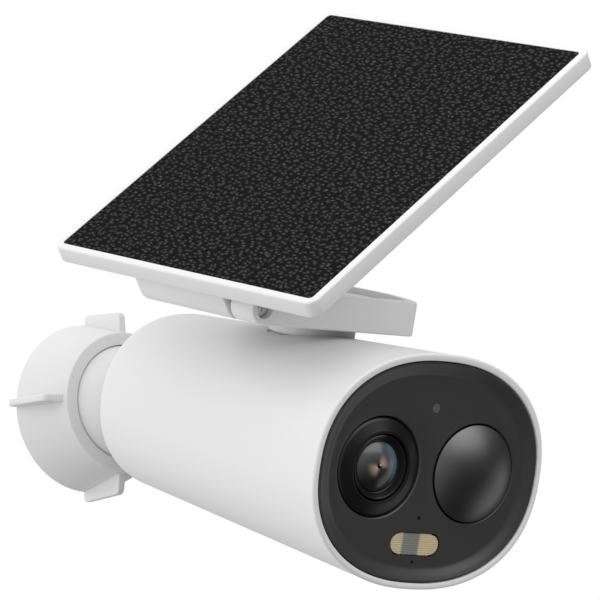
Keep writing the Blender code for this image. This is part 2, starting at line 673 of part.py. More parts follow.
def port_parts(parent):
    """Tray with the charging port, card slot and power button, under a rubber hatch."""
    tray = box("port_tray", (-0.007, HATCH_Y[0] - 0.001, -0.0219), (0.007, HATCH_Y[1] + 0.001, -0.0205),
               parent)
    holes = bmesh.new()
    add_box(holes, (-0.0046, 0.0762, -0.025), (0.0046, 0.0798, -0.015))
    add_box(holes, (-0.0052, 0.0852, -0.025), (0.0052, 0.0870, -0.015))
    boolean(tray, mesh_object("tray_slots", holes, parent, True))
    spans = [((0, BUTTON_Y, -0.025), (0, BUTTON_Y, -0.015))]
    boolean(tray, cylinders("tray_button_hole", spans, 0.0028, parent, True, 24))
    finish(tray, PLASTIC_BLACK)
    port = box("usb_port", (-0.0043, 0.0765, -0.0218), (0.0043, 0.0795, -0.0158), parent)
    mouth = box("usb_mouth", (-0.0038, 0.0770, -0.0225), (0.0038, 0.0790, -0.0168), parent, True)
    boolean(port, mouth)
    finish(port, METAL)
    finish(box("memory_card", (-0.0049, 0.0855, -0.0222), (0.0049, 0.0867, -0.0148), parent),
           PLASTIC_BLACK)
    bm = bmesh.new()
    add_cylinder(bm, (0, BUTTON_Y, -0.0226), (0, BUTTON_Y, -0.0190), 0.0025, segments=24)
    finish(mesh_object("power_button", bm, parent), material("button", (0.2, 0.2, 0.2), 0.5))
    cover = loft("port_cover", skin_sections(0.0, SHELL_FRONT, SHELL_SHOULDER, SHELL_FILLET), parent)
    inner = skin_sections(SHELL_WALL, SHELL_FRONT, SHELL_SHOULDER, SHELL_FILLET - SHELL_WALL)
    boolean(cover, loft("port_cover_inside", inner, parent, True))
    low = (-HATCH_HALF_W + GAP, HATCH_Y[0] + GAP, -0.03)
    high = (HATCH_HALF_W - GAP, HATCH_Y[1] - GAP, -0.019)
    boolean(cover, box("port_cover_cut", low, high, parent, True), "INTERSECT")
    finish(cover, PALE_RUBBER)


# ---------------------------------------------------------------- arm
def arm_outline(inset=0.0, left=None):
    """The arm from above: straight sides, a square hinge end and a bowed far end."""
    half = ARM_HALF_D - inset
    radius = ARM_END_R - inset
    bow = math.degrees(math.asin(half / radius))
    if left is None:
        left = HINGE_X + KNUCKLE_R + 0.0004 + inset
    return [(left, half), (left, -half)] + arc((ARM_END_X, 0.0), radius, -bow, bow, 14)


def turret_parts(parent):
    """Neck that turns in the body, its seal, retaining ring and the arm's fixing screws."""
    low = ARM_LOW
    profile = [
        (0.0090, low + 0.0057), (0.0090, low + 0.0032), (0.0140, low + 0.0032), (0.0140, low + 0.0016),
        (TURRET_R, low + 0.0016), (TURRET_R, -0.0007), (0.0099, -0.0007), (0.0099, -0.0020),
        (TURRET_R, -0.0020), (TURRET_R, -0.0043), (0.0090, -0.0043), (0.0090, -0.0062),
        (0.0100, -0.0062), (0.0100, -0.0075), (0.0035, -0.0075), (0.0035, low + 0.0057),
    ]
    turret = turned("neck_turret", profile, parent, steps=26)
    seal = [(0.0110, -0.0010), (0.0110, -0.0017), (0.0102, -0.0017), (0.0102, -0.0010)]
    finish(turned("neck_seal", seal, parent, steps=24), PALE_RUBBER)
    ring = [(0.0136, -0.0046), (0.0136, -0.0059), (0.0093, -0.0059), (0.0093, -0.0046)]
    finish(turned("neck_retainer", ring, parent, steps=24), METAL)
    places = []
    for index in range(3):
        angle = math.radians(30.0 + 120.0 * index)
        places.append((NECK_SCREW_RING * math.cos(angle), NECK_SCREW_RING * math.sin(angle)))
    top = ARM_LOW + ARM_H - POCKET_DEPTH
    sockets = [((x, y, low + 0.001), (x, y, low + 0.007)) for x, y in places]
    boolean(turret, cylinders("turret_sockets", sockets, 0.0013, parent, True, 12))
    finish(turret, PLASTIC_WHITE)
    for index, (x, y) in enumerate(places, 1):
        screw(f"turret_screw_{index}", (x, y, top + 0.0013), (x, y, top + 0.0003), 0.002,
              (x, y, low + 0.0015), 0.001, parent)
    return places


def arm_parts(parent, screw_places):
    """Hollow arm with its hinge ears and top pocket, and the plate that closes it below."""
    top = ARM_LOW + ARM_H
    hinge_z = ARM_LOW + ARM_H / 2.0
    arm = plate("panel_arm", arm_outline(), ARM_LOW, top, parent)
    ends = (
        ("front_ear", -ARM_HALF_D, -EAR_INNER, KNUCKLE_R),
        ("rear_ear", REAR_EAR[0], REAR_EAR[1], REAR_EAR_R),
    )
    for name, low, high, radius in ends:
        reach = HINGE_X + KNUCKLE_R + 0.001
        outline = [(reach, hinge_z + radius)] + arc((HINGE_X, hinge_z), radius, 90, 270, 14)
        outline += [(reach, hinge_z - radius)]
        ear = plate(name, outline, -high, -low, parent, rotation=FACE_FRONT, cutter=True)
        boolean(arm, ear, "UNION")
    floor = top - ARM_ROOF
    left = HINGE_X + KNUCKLE_R + 0.0030
    cavity = arm_outline(ARM_WALL, left)
    boolean(arm, plate("arm_cavity", cavity, ARM_LOW - PAST, floor, parent, cutter=True))
    pocket = arm_outline(POCKET_INSET, POCKET_START)
    boolean(arm, plate("arm_pocket", pocket, top - POCKET_DEPTH, top + PAST, parent, cutter=True))
    spans = [((HINGE_X, -0.03, hinge_z), (HINGE_X, 0.03, hinge_z))]
    boolean(arm, cylinders("arm_bolt_hole", spans, BOLT_HOLE_R, parent, True, 20))
    spans = [((HINGE_X, -0.03, hinge_z), (HINGE_X, -ARM_HALF_D + COUNTERBORE_DEPTH, hinge_z))]
    boolean(arm, cylinders("arm_counterbore", spans, COUNTERBORE_R, parent, True, 28))
    spans = [((x, y, floor - 0.002), (x, y, top)) for x, y in screw_places]
    boolean(arm, cylinders("arm_screw_holes", spans, 0.0013, parent, True, 12))
    finish(arm, PLASTIC_WHITE)
    outline = arm_outline(ARM_WALL + GAP, left + GAP)
    cover = plate("arm_base_cover", outline, ARM_LOW + 0.0001, ARM_LOW + 0.0013, parent)
    spans = [((0, 0, 0), (0, 0, 0.01))]
    boolean(cover, cylinders("cover_neck_hole", spans, TURRET_R + GAP, parent, True, 28))
    finish(cover, PLASTIC_WHITE)


def hinge_hardware(parent):
    """Hinge bolt, nut and spring washer, on the hinge axis."""
    bm = bmesh.new()
    head = -ARM_HALF_D + 0.0012
    add_cylinder(bm, (0, head, 0), (0, head + 0.002, 0), BOLT_HEAD_R, segments=24)
    bolt = mesh_object("hinge_bolt", bm, parent)
    spans = [((0, head + 0.001, 0), (0, 0.0172, 0))]
    boolean(bolt, cylinders("hinge_bolt_shank", spans, BOLT_R, parent, True, 20), "UNION")
    socket = [((0, head - 0.001, 0), (0, head + 0.0011, 0))]
    boolean(bolt, cylinders("hinge_bolt_socket", socket, 0.0012, parent, True, 6))
    finish(bolt, METAL)
    bm = bmesh.new()
    add_cylinder(bm, (0, 0.0150, 0), (0, 0.0170, 0), 0.0031, segments=6)
    nut = mesh_object("hinge_nut", bm, parent)
    spans = [((0, 0.01, 0), (0, 0.02, 0))]
    boolean(nut, cylinders("hinge_nut_hole", spans, BOLT_R + 0.00015, parent, True, 20))
    finish(nut, METAL)
    low, high = EAR_INNER - 0.0007, EAR_INNER - GAP
    ring = [(0.0034, high), (0.0034, low), (BOLT_HOLE_R, low), (BOLT_HOLE_R, high)]
    finish(turned("hinge_washer", ring, parent, rotation=FACE_FRONT, steps=24), METAL)


# ---------------------------------------------------------------- solar panel
def panel_bracket(parent):
    """Hinge block and the plate that it is moulded with, under the panel's low edge."""
    back = PANEL_BACK_Z - GAP
    plate_low = back - BRACKET_T
    outline = [(-KNUCKLE_R, back)] + arc((0.0, 0.0), KNUCKLE_R, 180, 360, 12)
    outline += [(KNUCKLE_R, plate_low), (BRACKET_END, plate_low), (BRACKET_END, back)]
    block = plate("panel_bracket", outline, -BLOCK_REAR, BLOCK_FRONT, parent, rotation=FACE_FRONT)
    slot_low = REAR_EAR[0] - 0.0004
    slot_high = REAR_EAR[1] + 0.0004
    slot = box("bracket_slot", (-REAR_EAR_R - GAP, slot_low, -0.01), (0.01, slot_high, REAR_EAR_R + GAP),
               parent, True)
    boolean(block, slot)
    spans = [((0, -0.03, 0), (0, 0.03, 0))]
    boolean(block, cylinders("bracket_bolt_hole", spans, BOLT_HOLE_R, parent, True, 20))
    spans = [((0, 0.0149, 0), (0, 0.03, 0))]
    boolean(block, cylinders("bracket_nut_pocket", spans, 0.0034, parent, True, 24))
    places = [(x, y) for x in BRACKET_SCREW_XS for y in BRACKET_SCREW_YS]
    spans = [((x, y, 0.0), (x, y, 0.01)) for x, y in places]
    boolean(block, cylinders("bracket_screw_holes", spans, 0.0012, parent, True, 12))
    finish(block, PLASTIC_WHITE)
    return places


def panel_parts(parent, screw_places):
    """Frame, back cover, cell sheet and textured front laminate, with the bracket screws."""
    length, width = PANEL_L / 2.0, PANEL_W / 2.0
    centre = (PANEL_X, 0.0)
    outer = rounded_rectangle(length, width, PANEL_CORNER_R, 5, centre)
    inner = rounded_rectangle(length - PANEL_BORDER, width - PANEL_BORDER, 0.0012, 3, centre)
    rim = plate("panel_frame", outer, PANEL_BACK_Z, PANEL_RIM_Z, parent)
    boolean(rim, plate("panel_frame_hole", inner, 0.0, 0.02, parent, cutter=True))
    finish(rim, PLASTIC_WHITE)
    inside = rounded_rectangle(length - PANEL_BORDER - GAP, width - PANEL_BORDER - GAP, 0.001, 3, centre)
    levels = (
        ("panel_back_cover", PANEL_BACK_Z + 0.0001, 0.0079, PLASTIC_WHITE),
        ("cell_sheet", 0.0082, 0.0089, material("cells", (0.01, 0.012, 0.03), 0.3)),
        ("solar_laminate", 0.0092, PANEL_FACE_Z, material("laminate", (0.02, 0.02, 0.022), 0.55)),
    )
    for name, low, high, finish_material in levels:
        sheet = plate(name, inside, low, high, parent)
        if name == "panel_back_cover":
            spans = [((x, y, 0.0), (x, y, 0.0076)) for x, y in screw_places]
            boolean(sheet, cylinders("back_cover_holes", spans, 0.0012, parent, True, 12))
        finish(sheet, finish_material)
    low = PANEL_BACK_Z - GAP - BRACKET_T
    for index, (x, y) in enumerate(screw_places, 1):
        screw(f"bracket_screw_{index}", (x, y, low - 0.0009), (x, y, low - 0.0002), 0.0019, (x, y, 0.0074),
              0.0009, parent)


# ---------------------------------------------------------------- assembly
def build():
    """Places every sub-assembly in its frame."""
    pan_frame = frame("pan_frame", (0.0, -BALL_OUT, 0.0), (0.0, 0.0, PAN_REST))
    ball_frame = frame("ball_frame", (0.0, 0.0, 0.0), (TILT_REST, 0.0, 0.0), pan_frame)
    camera_frame = frame("camera_frame", (0.0, -FACE_TO_BALL, BALL_DROP), (0.0, 0.0, 0.0), ball_frame)
    neck = (0.0, NECK_Y, crown_at(NECK_Y))
    arm_frame = frame("arm_frame", neck, (0.0, 0.0, ARM_REST), camera_frame)
    hinge = (HINGE_X, 0.0, ARM_LOW + ARM_H / 2.0)
    hinge_frame = frame("hinge_frame", hinge, (0.0, -PANEL_REST, 0.0), arm_frame)
    wall_base()
    slip_seat()
    collar_nut()
    ball_core(pan_frame)
    ball_stud(ball_frame)
    stud_nut(ball_frame)
    main_shell(camera_frame)
    front_gasket(camera_frame)
    front_cover(camera_frame)
    lens_parts(camera_frame)
    motion_sensor(camera_frame)
    front_electronics(camera_frame)
    power_parts(camera_frame)
    port_parts(camera_frame)
    arm_parts(arm_frame, turret_parts(arm_frame))
    hinge_hardware(hinge_frame)
    panel_parts(hinge_frame, panel_bracket(hinge_frame))
    bpy.context.view_layer.update()


build()
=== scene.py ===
"""Looks of a wall-mounted solar security camera: meshes, finishes, lights and camera round its frame."""

import json
import logging
import math
from dataclasses import dataclass, field
from enum import Enum
from typing import Sequence

import bmesh
import bpy
from mathutils import Matrix, Vector


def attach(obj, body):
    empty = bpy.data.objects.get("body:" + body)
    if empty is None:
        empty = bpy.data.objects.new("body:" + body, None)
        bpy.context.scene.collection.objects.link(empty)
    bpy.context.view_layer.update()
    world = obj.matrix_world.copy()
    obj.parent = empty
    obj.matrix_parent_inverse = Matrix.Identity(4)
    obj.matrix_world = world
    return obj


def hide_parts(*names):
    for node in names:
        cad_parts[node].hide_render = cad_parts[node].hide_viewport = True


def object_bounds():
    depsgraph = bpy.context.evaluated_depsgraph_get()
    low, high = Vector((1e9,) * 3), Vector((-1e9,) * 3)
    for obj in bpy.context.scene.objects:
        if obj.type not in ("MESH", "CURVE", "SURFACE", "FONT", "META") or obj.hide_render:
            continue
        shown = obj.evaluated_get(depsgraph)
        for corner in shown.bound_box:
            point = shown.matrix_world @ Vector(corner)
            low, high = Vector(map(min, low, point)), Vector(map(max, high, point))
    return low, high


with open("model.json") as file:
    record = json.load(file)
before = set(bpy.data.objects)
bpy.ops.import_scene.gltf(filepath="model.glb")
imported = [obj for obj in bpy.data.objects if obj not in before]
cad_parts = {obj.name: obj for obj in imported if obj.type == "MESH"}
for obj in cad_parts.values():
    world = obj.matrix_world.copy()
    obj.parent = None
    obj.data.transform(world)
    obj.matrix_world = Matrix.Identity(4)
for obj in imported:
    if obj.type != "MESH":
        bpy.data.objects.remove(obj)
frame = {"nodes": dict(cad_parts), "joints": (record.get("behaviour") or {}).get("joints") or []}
CAD_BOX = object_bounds()
LOG = logging.getLogger("solar_camera")
GAP = 0.0003  # clearance between neighbouring pieces, in metres
TINY = 0.000002  # points nearer than this count as one, in metres

Point = tuple[float, float]
Place = tuple[float, float, float]


# ---------------------------------------------------------------- frames
def joint(name: str) -> dict:
    """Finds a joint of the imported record.

    Args:
        name: the joint's name.

    Returns:
        The joint's entry.
    """
    return next(entry for entry in frame["joints"] if entry["name"] == name)


def basis(origin: Vector, x: Vector, y: Vector, z: Vector) -> Matrix:
    """Builds the matrix of a frame.

    Args:
        origin: the frame's origin in the world.
        x: direction of local +X.
        y: direction of local +Y.
        z: direction of local +Z.

    Returns:
        The local-to-world matrix.
    """
    turn = Matrix((x, y, z)).transposed().to_4x4()
    return Matrix.Translation(origin) @ turn


@dataclass(frozen=True)
class Frames:
    """Local frames of the sub-assemblies, read from the joints' axes.

    Attributes:
        face_to_ball: distance from the front face to the ball centre.
        ball_drop: how far the ball centre lies below the lens.
        panel_slope: the panel's slope at rest, in degrees.
    """

    face_to_ball: float = 0.1339
    ball_drop: float = 0.0066
    panel_slope: float = 39.3

    def body_axes(self) -> tuple[Vector, Vector, Vector]:
        """Returns the camera body's right, rear and up directions."""
        right = Vector(joint("hatch_swing")["axis"])
        rear = Vector(joint("body_roll")["axis"])
        up = Vector(joint("arm_turn")["axis"])
        return right, rear, up

    def wall(self) -> Matrix:
        """Returns the wall mount's frame, on the wall."""
        return Matrix.Identity(4)

    def ball(self) -> Matrix:
        """Returns the frame at the ball centre, along the body."""
        return basis(Vector(joint("ball_tilt")["pos_m"]), *self.body_axes())

    def camera(self) -> Matrix:
        """Returns the frame midway between the lens and the motion sensor."""
        return self.ball() @ Matrix.Translation((0.0, -self.face_to_ball, self.ball_drop))

    def arm(self) -> Matrix:
        """Returns the frame on the body's crown at the neck, +X along the arm."""
        up = Vector(joint("arm_turn")["axis"])
        rear = -Vector(joint("panel_tilt")["axis"])
        return basis(Vector(joint("arm_turn")["pos_m"]), rear.cross(up), rear, up)

    def hinge(self) -> Matrix:
        """Returns the frame on the panel hinge, +X up the panel's slope."""
        rear = -Vector(joint("panel_tilt")["axis"])
        tilt = Matrix.Rotation(-math.radians(self.panel_slope), 3, "Y")
        turn = self.arm().to_3x3() @ tilt
        origin = Vector(joint("panel_tilt")["pos_m"])
        return basis(origin, turn.col[0], rear, turn.col[2])

    def bolt(self) -> Matrix:
        """Returns the frame on the panel hinge that stays in line with the arm."""
        arm = self.arm().to_3x3()
        return basis(self.hinge().translation, arm.col[0], arm.col[1], arm.col[2])


# ---------------------------------------------------------------- node helpers
def feed(tree: bpy.types.NodeTree, socket: bpy.types.NodeSocket, value: object) -> None:
    """Links an output socket to an input, or sets the input to a plain value.

    Args:
        tree: the tree that holds both.
        socket: the input.
        value: an output socket, a number, a vector or a colour.
    """
    if isinstance(value, bpy.types.NodeSocket):
        tree.links.new(value, socket)
    else:
        socket.default_value = value


def add_node(tree: bpy.types.NodeTree, kind: str, **settings: object) -> bpy.types.Node:
    """Adds a node, sets its properties and feeds its inputs.

    Args:
        tree: the tree that takes the node.
        kind: the node's type name.
        **settings: property names, or input names with spaces as underscores.

    Returns:
        The new node.
    """
    node = tree.nodes.new(kind)
    for key, value in settings.items():
        if hasattr(node, key):
            setattr(node, key, value)
        else:
            feed(tree, node.inputs[key.replace("_", " ")], value)
    return node


def math_node(tree: bpy.types.NodeTree, operation: str, *values: object) -> object:
    """Adds a Math node between sockets or numbers.

    Args:
        tree: the tree that takes the node.
        operation: the Math operation.
        *values: a socket or a number for each input.

    Returns:
        The result's socket.
    """
    node = add_node(tree, "ShaderNodeMath", operation=operation)
    for socket, value in zip(node.inputs, values):
        feed(tree, socket, value)
    return node.outputs[0]


def vector_node(
    tree: bpy.types.NodeTree, operation: str, first: object, second: object, output: str = "Vector"
) -> object:
    """Adds a Vector Math node.

    Args:
        tree: the tree that takes the node.
        operation: the Vector Math operation.
        first: the first vector.
        second: the second vector, or the factor of SCALE.
        output: the output that is read.

    Returns:
        The output's socket.
    """
    node = add_node(tree, "ShaderNodeVectorMath", operation=operation)
    feed(tree, node.inputs[0], first)
    feed(tree, node.inputs["Scale" if operation == "SCALE" else 1], second)
    return node.outputs[output]


def ramp_node(
    tree: bpy.types.NodeTree, value: object, low: float, high: float, kind: str = "SMOOTHSTEP", **ends: float
) -> object:
    """Adds a Map Range node.

    Args:
        tree: the tree that takes the node.
        value: the socket that is mapped.
        low: the value that gives To Min.
        high: the value that gives To Max.
        kind: the interpolation.
        **ends: To_Min and To_Max, if they aren't 0 and 1.

    Returns:
        The result's socket.
    """
    node = add_node(
        tree, "ShaderNodeMapRange", interpolation_type=kind, Value=value, From_Min=low, From_Max=high, **ends
    )
    return node.outputs[0]


MIX_SOCKETS = {"FLOAT": (2, 3, 0), "RGBA": (6, 7, 2)}  # both inputs and the output of each kind of Mix node


def mix_node(
    tree: bpy.types.NodeTree, factor: object, first: object, second: object, kind: str = "RGBA",
    **settings: str,
) -> object:
    """Adds a Mix node.

    Args:
        tree: the tree that takes the node.
        factor: the second value's share.
        first: the first value.
        second: the second value.
        kind: the data type.
        **settings: further properties of the node.

    Returns:
        The result's socket.
    """
    node = add_node(tree, "ShaderNodeMix", data_type=kind, **settings)
    low, high, out = MIX_SOCKETS[kind]
    for index, value in ((0, factor), (low, first), (high, second)):
        feed(tree, node.inputs[index], value)
    return node.outputs[out]


def opaque(colour: Place) -> tuple[float, float, float, float]:
    """Gives a colour full alpha.

    Args:
        colour: the linear colour.

    Returns:
        The colour with an alpha of one.
    """
    return (*colour, 1.0)


def new_group(
    name: str, inputs: Sequence[tuple[str, str, object]], outputs: Sequence[tuple[str, str]]
) -> tuple[bpy.types.NodeTree, bpy.types.Node, bpy.types.Node]:
    """Starts a shader node group.

    Args:
        name: the group's name.
        inputs: (name, socket type, default) of each input.
        outputs: (name, socket type) of each output.

    Returns:
        The tree, its input node and its output node.
    """
    tree = bpy.data.node_groups.new(name, "ShaderNodeTree")
    for label, kind, default in inputs:
        socket = tree.interface.new_socket(label, in_out="INPUT", socket_type=kind)
        if default is not None:
            socket.default_value = default
    for label, kind in outputs:
        tree.interface.new_socket(label, in_out="OUTPUT", socket_type=kind)
    return tree, tree.nodes.new("NodeGroupInput"), tree.nodes.new("NodeGroupOutput")


FLOAT = "NodeSocketFloat"
COLOUR = "NodeSocketColor"
VECTOR = "NodeSocketVector"


@dataclass
class Effects:
    """Shader node groups shared by the finishes, each built once.

    Attributes:
        weave_bend: how far noise shifts the weave, in metres.
        weave_lean: how far its knots lean from the panel's length, in degrees.
        knot_reach: cell distances at which a knot ends and at which it is full.
        knot_power: how fast a knot's height and painted highlight fall off towards its edge.
        knot_floor: height and painted brightness between the knots.
        strand_span: noise values between which a strand appears.
        strand_floor: height and painted brightness between the strands of a knot.
        built: the groups made so far.
    """

    weave_bend: float = 0.0012
    weave_lean: float = 11.0
    knot_reach: Point = (0.58, 0.05)
    knot_power: float = 2.4
    knot_floor: float = 0.06
    strand_span: Point = (0.36, 0.62)
    strand_floor: float = 0.25
    built: dict[str, bpy.types.NodeTree] = field(default_factory=dict)

    def moulding(self) -> bpy.types.NodeTree:
        """Fine spark-eroded grain, cloudy tone and smears of a moulded plastic surface.

        Returns:
            A group with a Height, a Tone and a Smear output.
        """
        if "moulding" in self.built:
            return self.built["moulding"]
        tree, start, end = new_group(
            "moulding",
            (("Vector", VECTOR, None), ("Grain Scale", FLOAT, 3000.0), ("Cloud Scale", FLOAT, 18.0)),
            (("Height", FLOAT), ("Tone", FLOAT), ("Smear", FLOAT)),
        )
        place, scale = start.outputs["Vector"], start.outputs["Cloud Scale"]
        fine = math_node(tree, "MULTIPLY", scale, 4.0)
        layers = {
            "Height": {"Scale": start.outputs["Grain Scale"], "Detail": 3.0, "Roughness": 0.6},
            "Tone": {"Scale": scale, "Detail": 4.0, "Roughness": 0.5},
            "Smear": {"Scale": fine, "Detail": 6.0, "Roughness": 0.65, "Distortion": 0.6},
        }
        for output, settings in layers.items():
            noise = add_node(tree, "ShaderNodeTexNoise", Vector=place, **settings)
            tree.links.new(noise.outputs["Fac"], end.inputs[output])
        self.built["moulding"] = tree
        return tree

    def weave(self) -> bpy.types.NodeTree:
        """Embossed crinkled weave: long scattered knots of strands, bent by noise, with painted highlights on
        the knots and painted shade between them.

        Returns:
            A group with a Height output and a Colour output that holds the painted highlights and shade.
        """
        if "weave" in self.built:
            return self.built["weave"]
        # The dark colour is painted shade in the pits between the knots, and the light colour a painted
        # highlight on their tops.
        tree, start, end = new_group(
            "weave",
            (("Vector", VECTOR, None), ("Along", FLOAT, 0.0019), ("Across", FLOAT, 0.0012),
             ("Dark", COLOUR, (0.002, 0.002, 0.002, 1)), ("Light", COLOUR, (0.14, 0.14, 0.142, 1))),
            (("Height", FLOAT), ("Colour", COLOUR)),
        )
        place = start.outputs["Vector"]
        warp = add_node(tree, "ShaderNodeTexNoise", Vector=place, Scale=420.0, Detail=2.0, Roughness=0.6)
        centred = vector_node(tree, "SUBTRACT", warp.outputs["Color"], (0.5, 0.5, 0.5))
        shift = vector_node(tree, "SCALE", centred, self.weave_bend)
        bent = vector_node(tree, "ADD", place, shift)
        rotated = add_node(tree, "ShaderNodeVectorRotate", rotation_type="Z_AXIS", Vector=bent,
                           Angle=math.radians(self.weave_lean))
        parts = add_node(tree, "ShaderNodeSeparateXYZ", Vector=rotated.outputs[0])
        cell = {axis: math_node(tree, "DIVIDE", parts.outputs[axis], start.outputs[pitch])
                for axis, pitch in (("X", "Across"), ("Y", "Along"))}
        joined = add_node(tree, "ShaderNodeCombineXYZ", **cell).outputs[0]
        cells = add_node(tree, "ShaderNodeTexVoronoi", feature="SMOOTH_F1", voronoi_dimensions="2D",
                         Vector=joined, Scale=1.0, Smoothness=0.25, Randomness=0.78)
        rough = add_node(tree, "ShaderNodeTexNoise", Vector=place, Scale=1300.0, Detail=3.0, Roughness=0.7)
        knot = ramp_node(tree, cells.outputs["Distance"], *self.knot_reach)
        noisy_knot = math_node(tree, "MULTIPLY", knot, math_node(tree, "ADD", rough.outputs["Fac"], 0.45))
        knots = math_node(tree, "ADD", math_node(tree, "POWER", noisy_knot, self.knot_power), self.knot_floor)
        strand = add_node(tree, "ShaderNodeTexNoise", Vector=joined, Scale=2.6, Detail=3.0, Roughness=0.65)
        fibre = ramp_node(tree, strand.outputs["Fac"], *self.strand_span)
        fibre = math_node(tree, "MULTIPLY", fibre, 1.0 - self.strand_floor)
        strands = math_node(tree, "ADD", fibre, self.strand_floor)
        blend = math_node(tree, "MULTIPLY", knots, strands)
        tree.links.new(blend, end.inputs["Height"])
        # The same mask that raises the knots paints highlights on them and shade between them.
        colour = mix_node(tree, blend, start.outputs["Dark"], start.outputs["Light"])
        tree.links.new(colour, end.inputs["Colour"])
        self.built["weave"] = tree
        return tree


EFFECTS = Effects()


class Coordinates(Enum):
    """Where a finish reads its pattern's coordinates."""

    OBJECT = "Object"
    UV = "UV"


# ---------------------------------------------------------------- finishes
@dataclass(frozen=True)
class Finish:
    """A moulded, cast or coated surface.

    Attributes:
        name: the material's name.
        slot: the record's material slot.
        colour: linear base colour.
        roughness: middle roughness.
        metallic: metallic value.
        grain: pattern scale of the fine grain, per metre.
        depth: bump distance of the grain.
        mottle: how far the tone wanders, as a share of the colour.
        sheen_span: how far the roughness wanders.
        coat: clear coat weight.
        coat_roughness: roughness of the coat.
        specular: specular level.
        coat_ior: refractive index of the coat.
    """

    name: str
    slot: str
    colour: Place
    roughness: float = 0.45
    metallic: float = 0.0
    grain: float = 2600.0
    depth: float = 0.00002
    mottle: float = 0.02
    sheen_span: float = 0.06
    coat: float = 0.0
    coat_roughness: float = 0.1
    specular: float = 0.5
    coat_ior: float = 1.5

    def coordinates(self, tree: bpy.types.NodeTree, kind: Coordinates) -> object:
        """Adds a coordinate node.

        Args:
            tree: the material's tree.
            kind: which coordinates the pattern reads.

        Returns:
            The coordinate socket.
        """
        return add_node(tree, "ShaderNodeTexCoord").outputs[kind.value]

    def start(self) -> tuple:
        """Makes the material with its Principled shader.

        Returns:
            The material, its tree and the shader.
        """
        made = bpy.data.materials.new(self.name)
        made.use_nodes = True
        tree = made.node_tree
        shader = tree.nodes["Principled BSDF"]
        shader.inputs["Base Color"].default_value = opaque(self.colour)
        shader.inputs["Roughness"].default_value = self.roughness
        shader.inputs["Metallic"].default_value = self.metallic
        shader.inputs["Coat Weight"].default_value = self.coat
        shader.inputs["Coat Roughness"].default_value = self.coat_roughness
        shader.inputs["Coat IOR"].default_value = self.coat_ior
        shader.inputs["Specular IOR Level"].default_value = self.specular
        return made, tree, shader

    def tone(self, tree: bpy.types.NodeTree, value: object) -> object:
        """Spreads the base colour round its middle.

        Args:
            tree: the material's tree.
            value: a mask from 0 to 1.

        Returns:
            The colour socket.
        """
        dark = opaque(tuple(part * (1.0 - self.mottle) for part in self.colour))
        pale = opaque(tuple(min(part * (1.0 + self.mottle), 1.0) for part in self.colour))
        return mix_node(tree, value, dark, pale)

    def span(self, tree: bpy.types.NodeTree, value: object) -> object:
        """Spreads the roughness round its middle.

        Args:
            tree: the material's tree.
            value: a mask from 0 to 1.

        Returns:
            The roughness socket.
        """
        low = max(self.roughness - self.sheen_span, 0.02)
        high = min(self.roughness + self.sheen_span, 1.0)
        return ramp_node(tree, value, 0.3, 0.7, "LINEAR", To_Min=low, To_Max=high)

    def bump(self, tree: bpy.types.NodeTree, shader: bpy.types.Node, height: object, depth: float) -> None:
        """Feeds a height into the shader's normal.

        Args:
            tree: the material's tree.
            shader: the Principled shader.
            height: the height socket.
            depth: the bump's distance in metres.
        """
        node = add_node(tree, "ShaderNodeBump", Distance=depth, Strength=1.0, Height=height)
        tree.links.new(node.outputs["Normal"], shader.inputs["Normal"])

    def build(self) -> bpy.types.Material:
        """Builds the material.

        Returns:
            The material.
        """
        made, tree, shader = self.start()
        vector = self.coordinates(tree, Coordinates.OBJECT)
        group = add_node(tree, "ShaderNodeGroup", node_tree=EFFECTS.moulding(), Grain_Scale=self.grain,
                         Vector=vector)
        tree.links.new(self.tone(tree, group.outputs["Tone"]), shader.inputs["Base Color"])
        tree.links.new(self.span(tree, group.outputs["Smear"]), shader.inputs["Roughness"])
        self.bump(tree, shader, group.outputs["Height"], self.depth)
        return made


@dataclass(frozen=True)
class WeaveFinish(Finish):
    """The solar film's embossed weave, with painted highlights and painted shade in its colour."""

    def build(self) -> bpy.types.Material:
        """Builds the material.

        Returns:
            The material.
        """
        made, tree, shader = self.start()
        vector = self.coordinates(tree, Coordinates.UV)
        group = add_node(tree, "ShaderNodeGroup", node_tree=EFFECTS.weave(), Vector=vector)
        tree.links.new(group.outputs["Colour"], shader.inputs["Base Color"])
        self.bump(tree, shader, group.outputs["Height"], self.depth)
        return made


@dataclass(frozen=True)
class WindowFinish(Finish):
    """Ribbed light window: warm over the lamps at both ends, grey between them.

    Attributes:
        middle: colour between the lamps.
        reach: half width of the grey part.
        shift: how far the grey part lies to the left of the middle.
        edges: how far the change of colour runs inside and outside the reach.
        speckle: how strongly noise darkens the window.
        rib: pitch of the ribs.
    """

    middle: Place = (0.26, 0.27, 0.24)
    reach: float = 0.0027
    shift: float = 0.0013
    edges: Point = (0.0005, 0.0004)
    speckle: float = 0.35
    rib: float = 0.00055

    def build(self) -> bpy.types.Material:
        """Builds the material.

        Returns:
            The material.
        """
        made, tree, shader = self.start()
        vector = self.coordinates(tree, Coordinates.UV)
        parts = add_node(tree, "ShaderNodeSeparateXYZ", Vector=vector)
        side = math_node(tree, "ABSOLUTE", math_node(tree, "ADD", parts.outputs["X"], self.shift))
        outer = ramp_node(tree, side, self.reach - self.edges[0], self.reach + self.edges[1])
        mixed = mix_node(tree, outer, opaque(self.middle), opaque(self.colour))
        noise = add_node(tree, "ShaderNodeTexNoise", Vector=vector, Scale=2400.0, Detail=3.0)
        flecked = mix_node(tree, self.speckle, mixed, noise.outputs["Fac"], blend_type="MULTIPLY")
        tree.links.new(flecked, shader.inputs["Base Color"])
        ribs = [math_node(tree, "SINE", math_node(tree, "MULTIPLY", parts.outputs[axis], math.tau / self.rib))
                for axis in ("X", "Y")]
        self.bump(tree, shader, math_node(tree, "ADD", *ribs), self.depth)
        return made


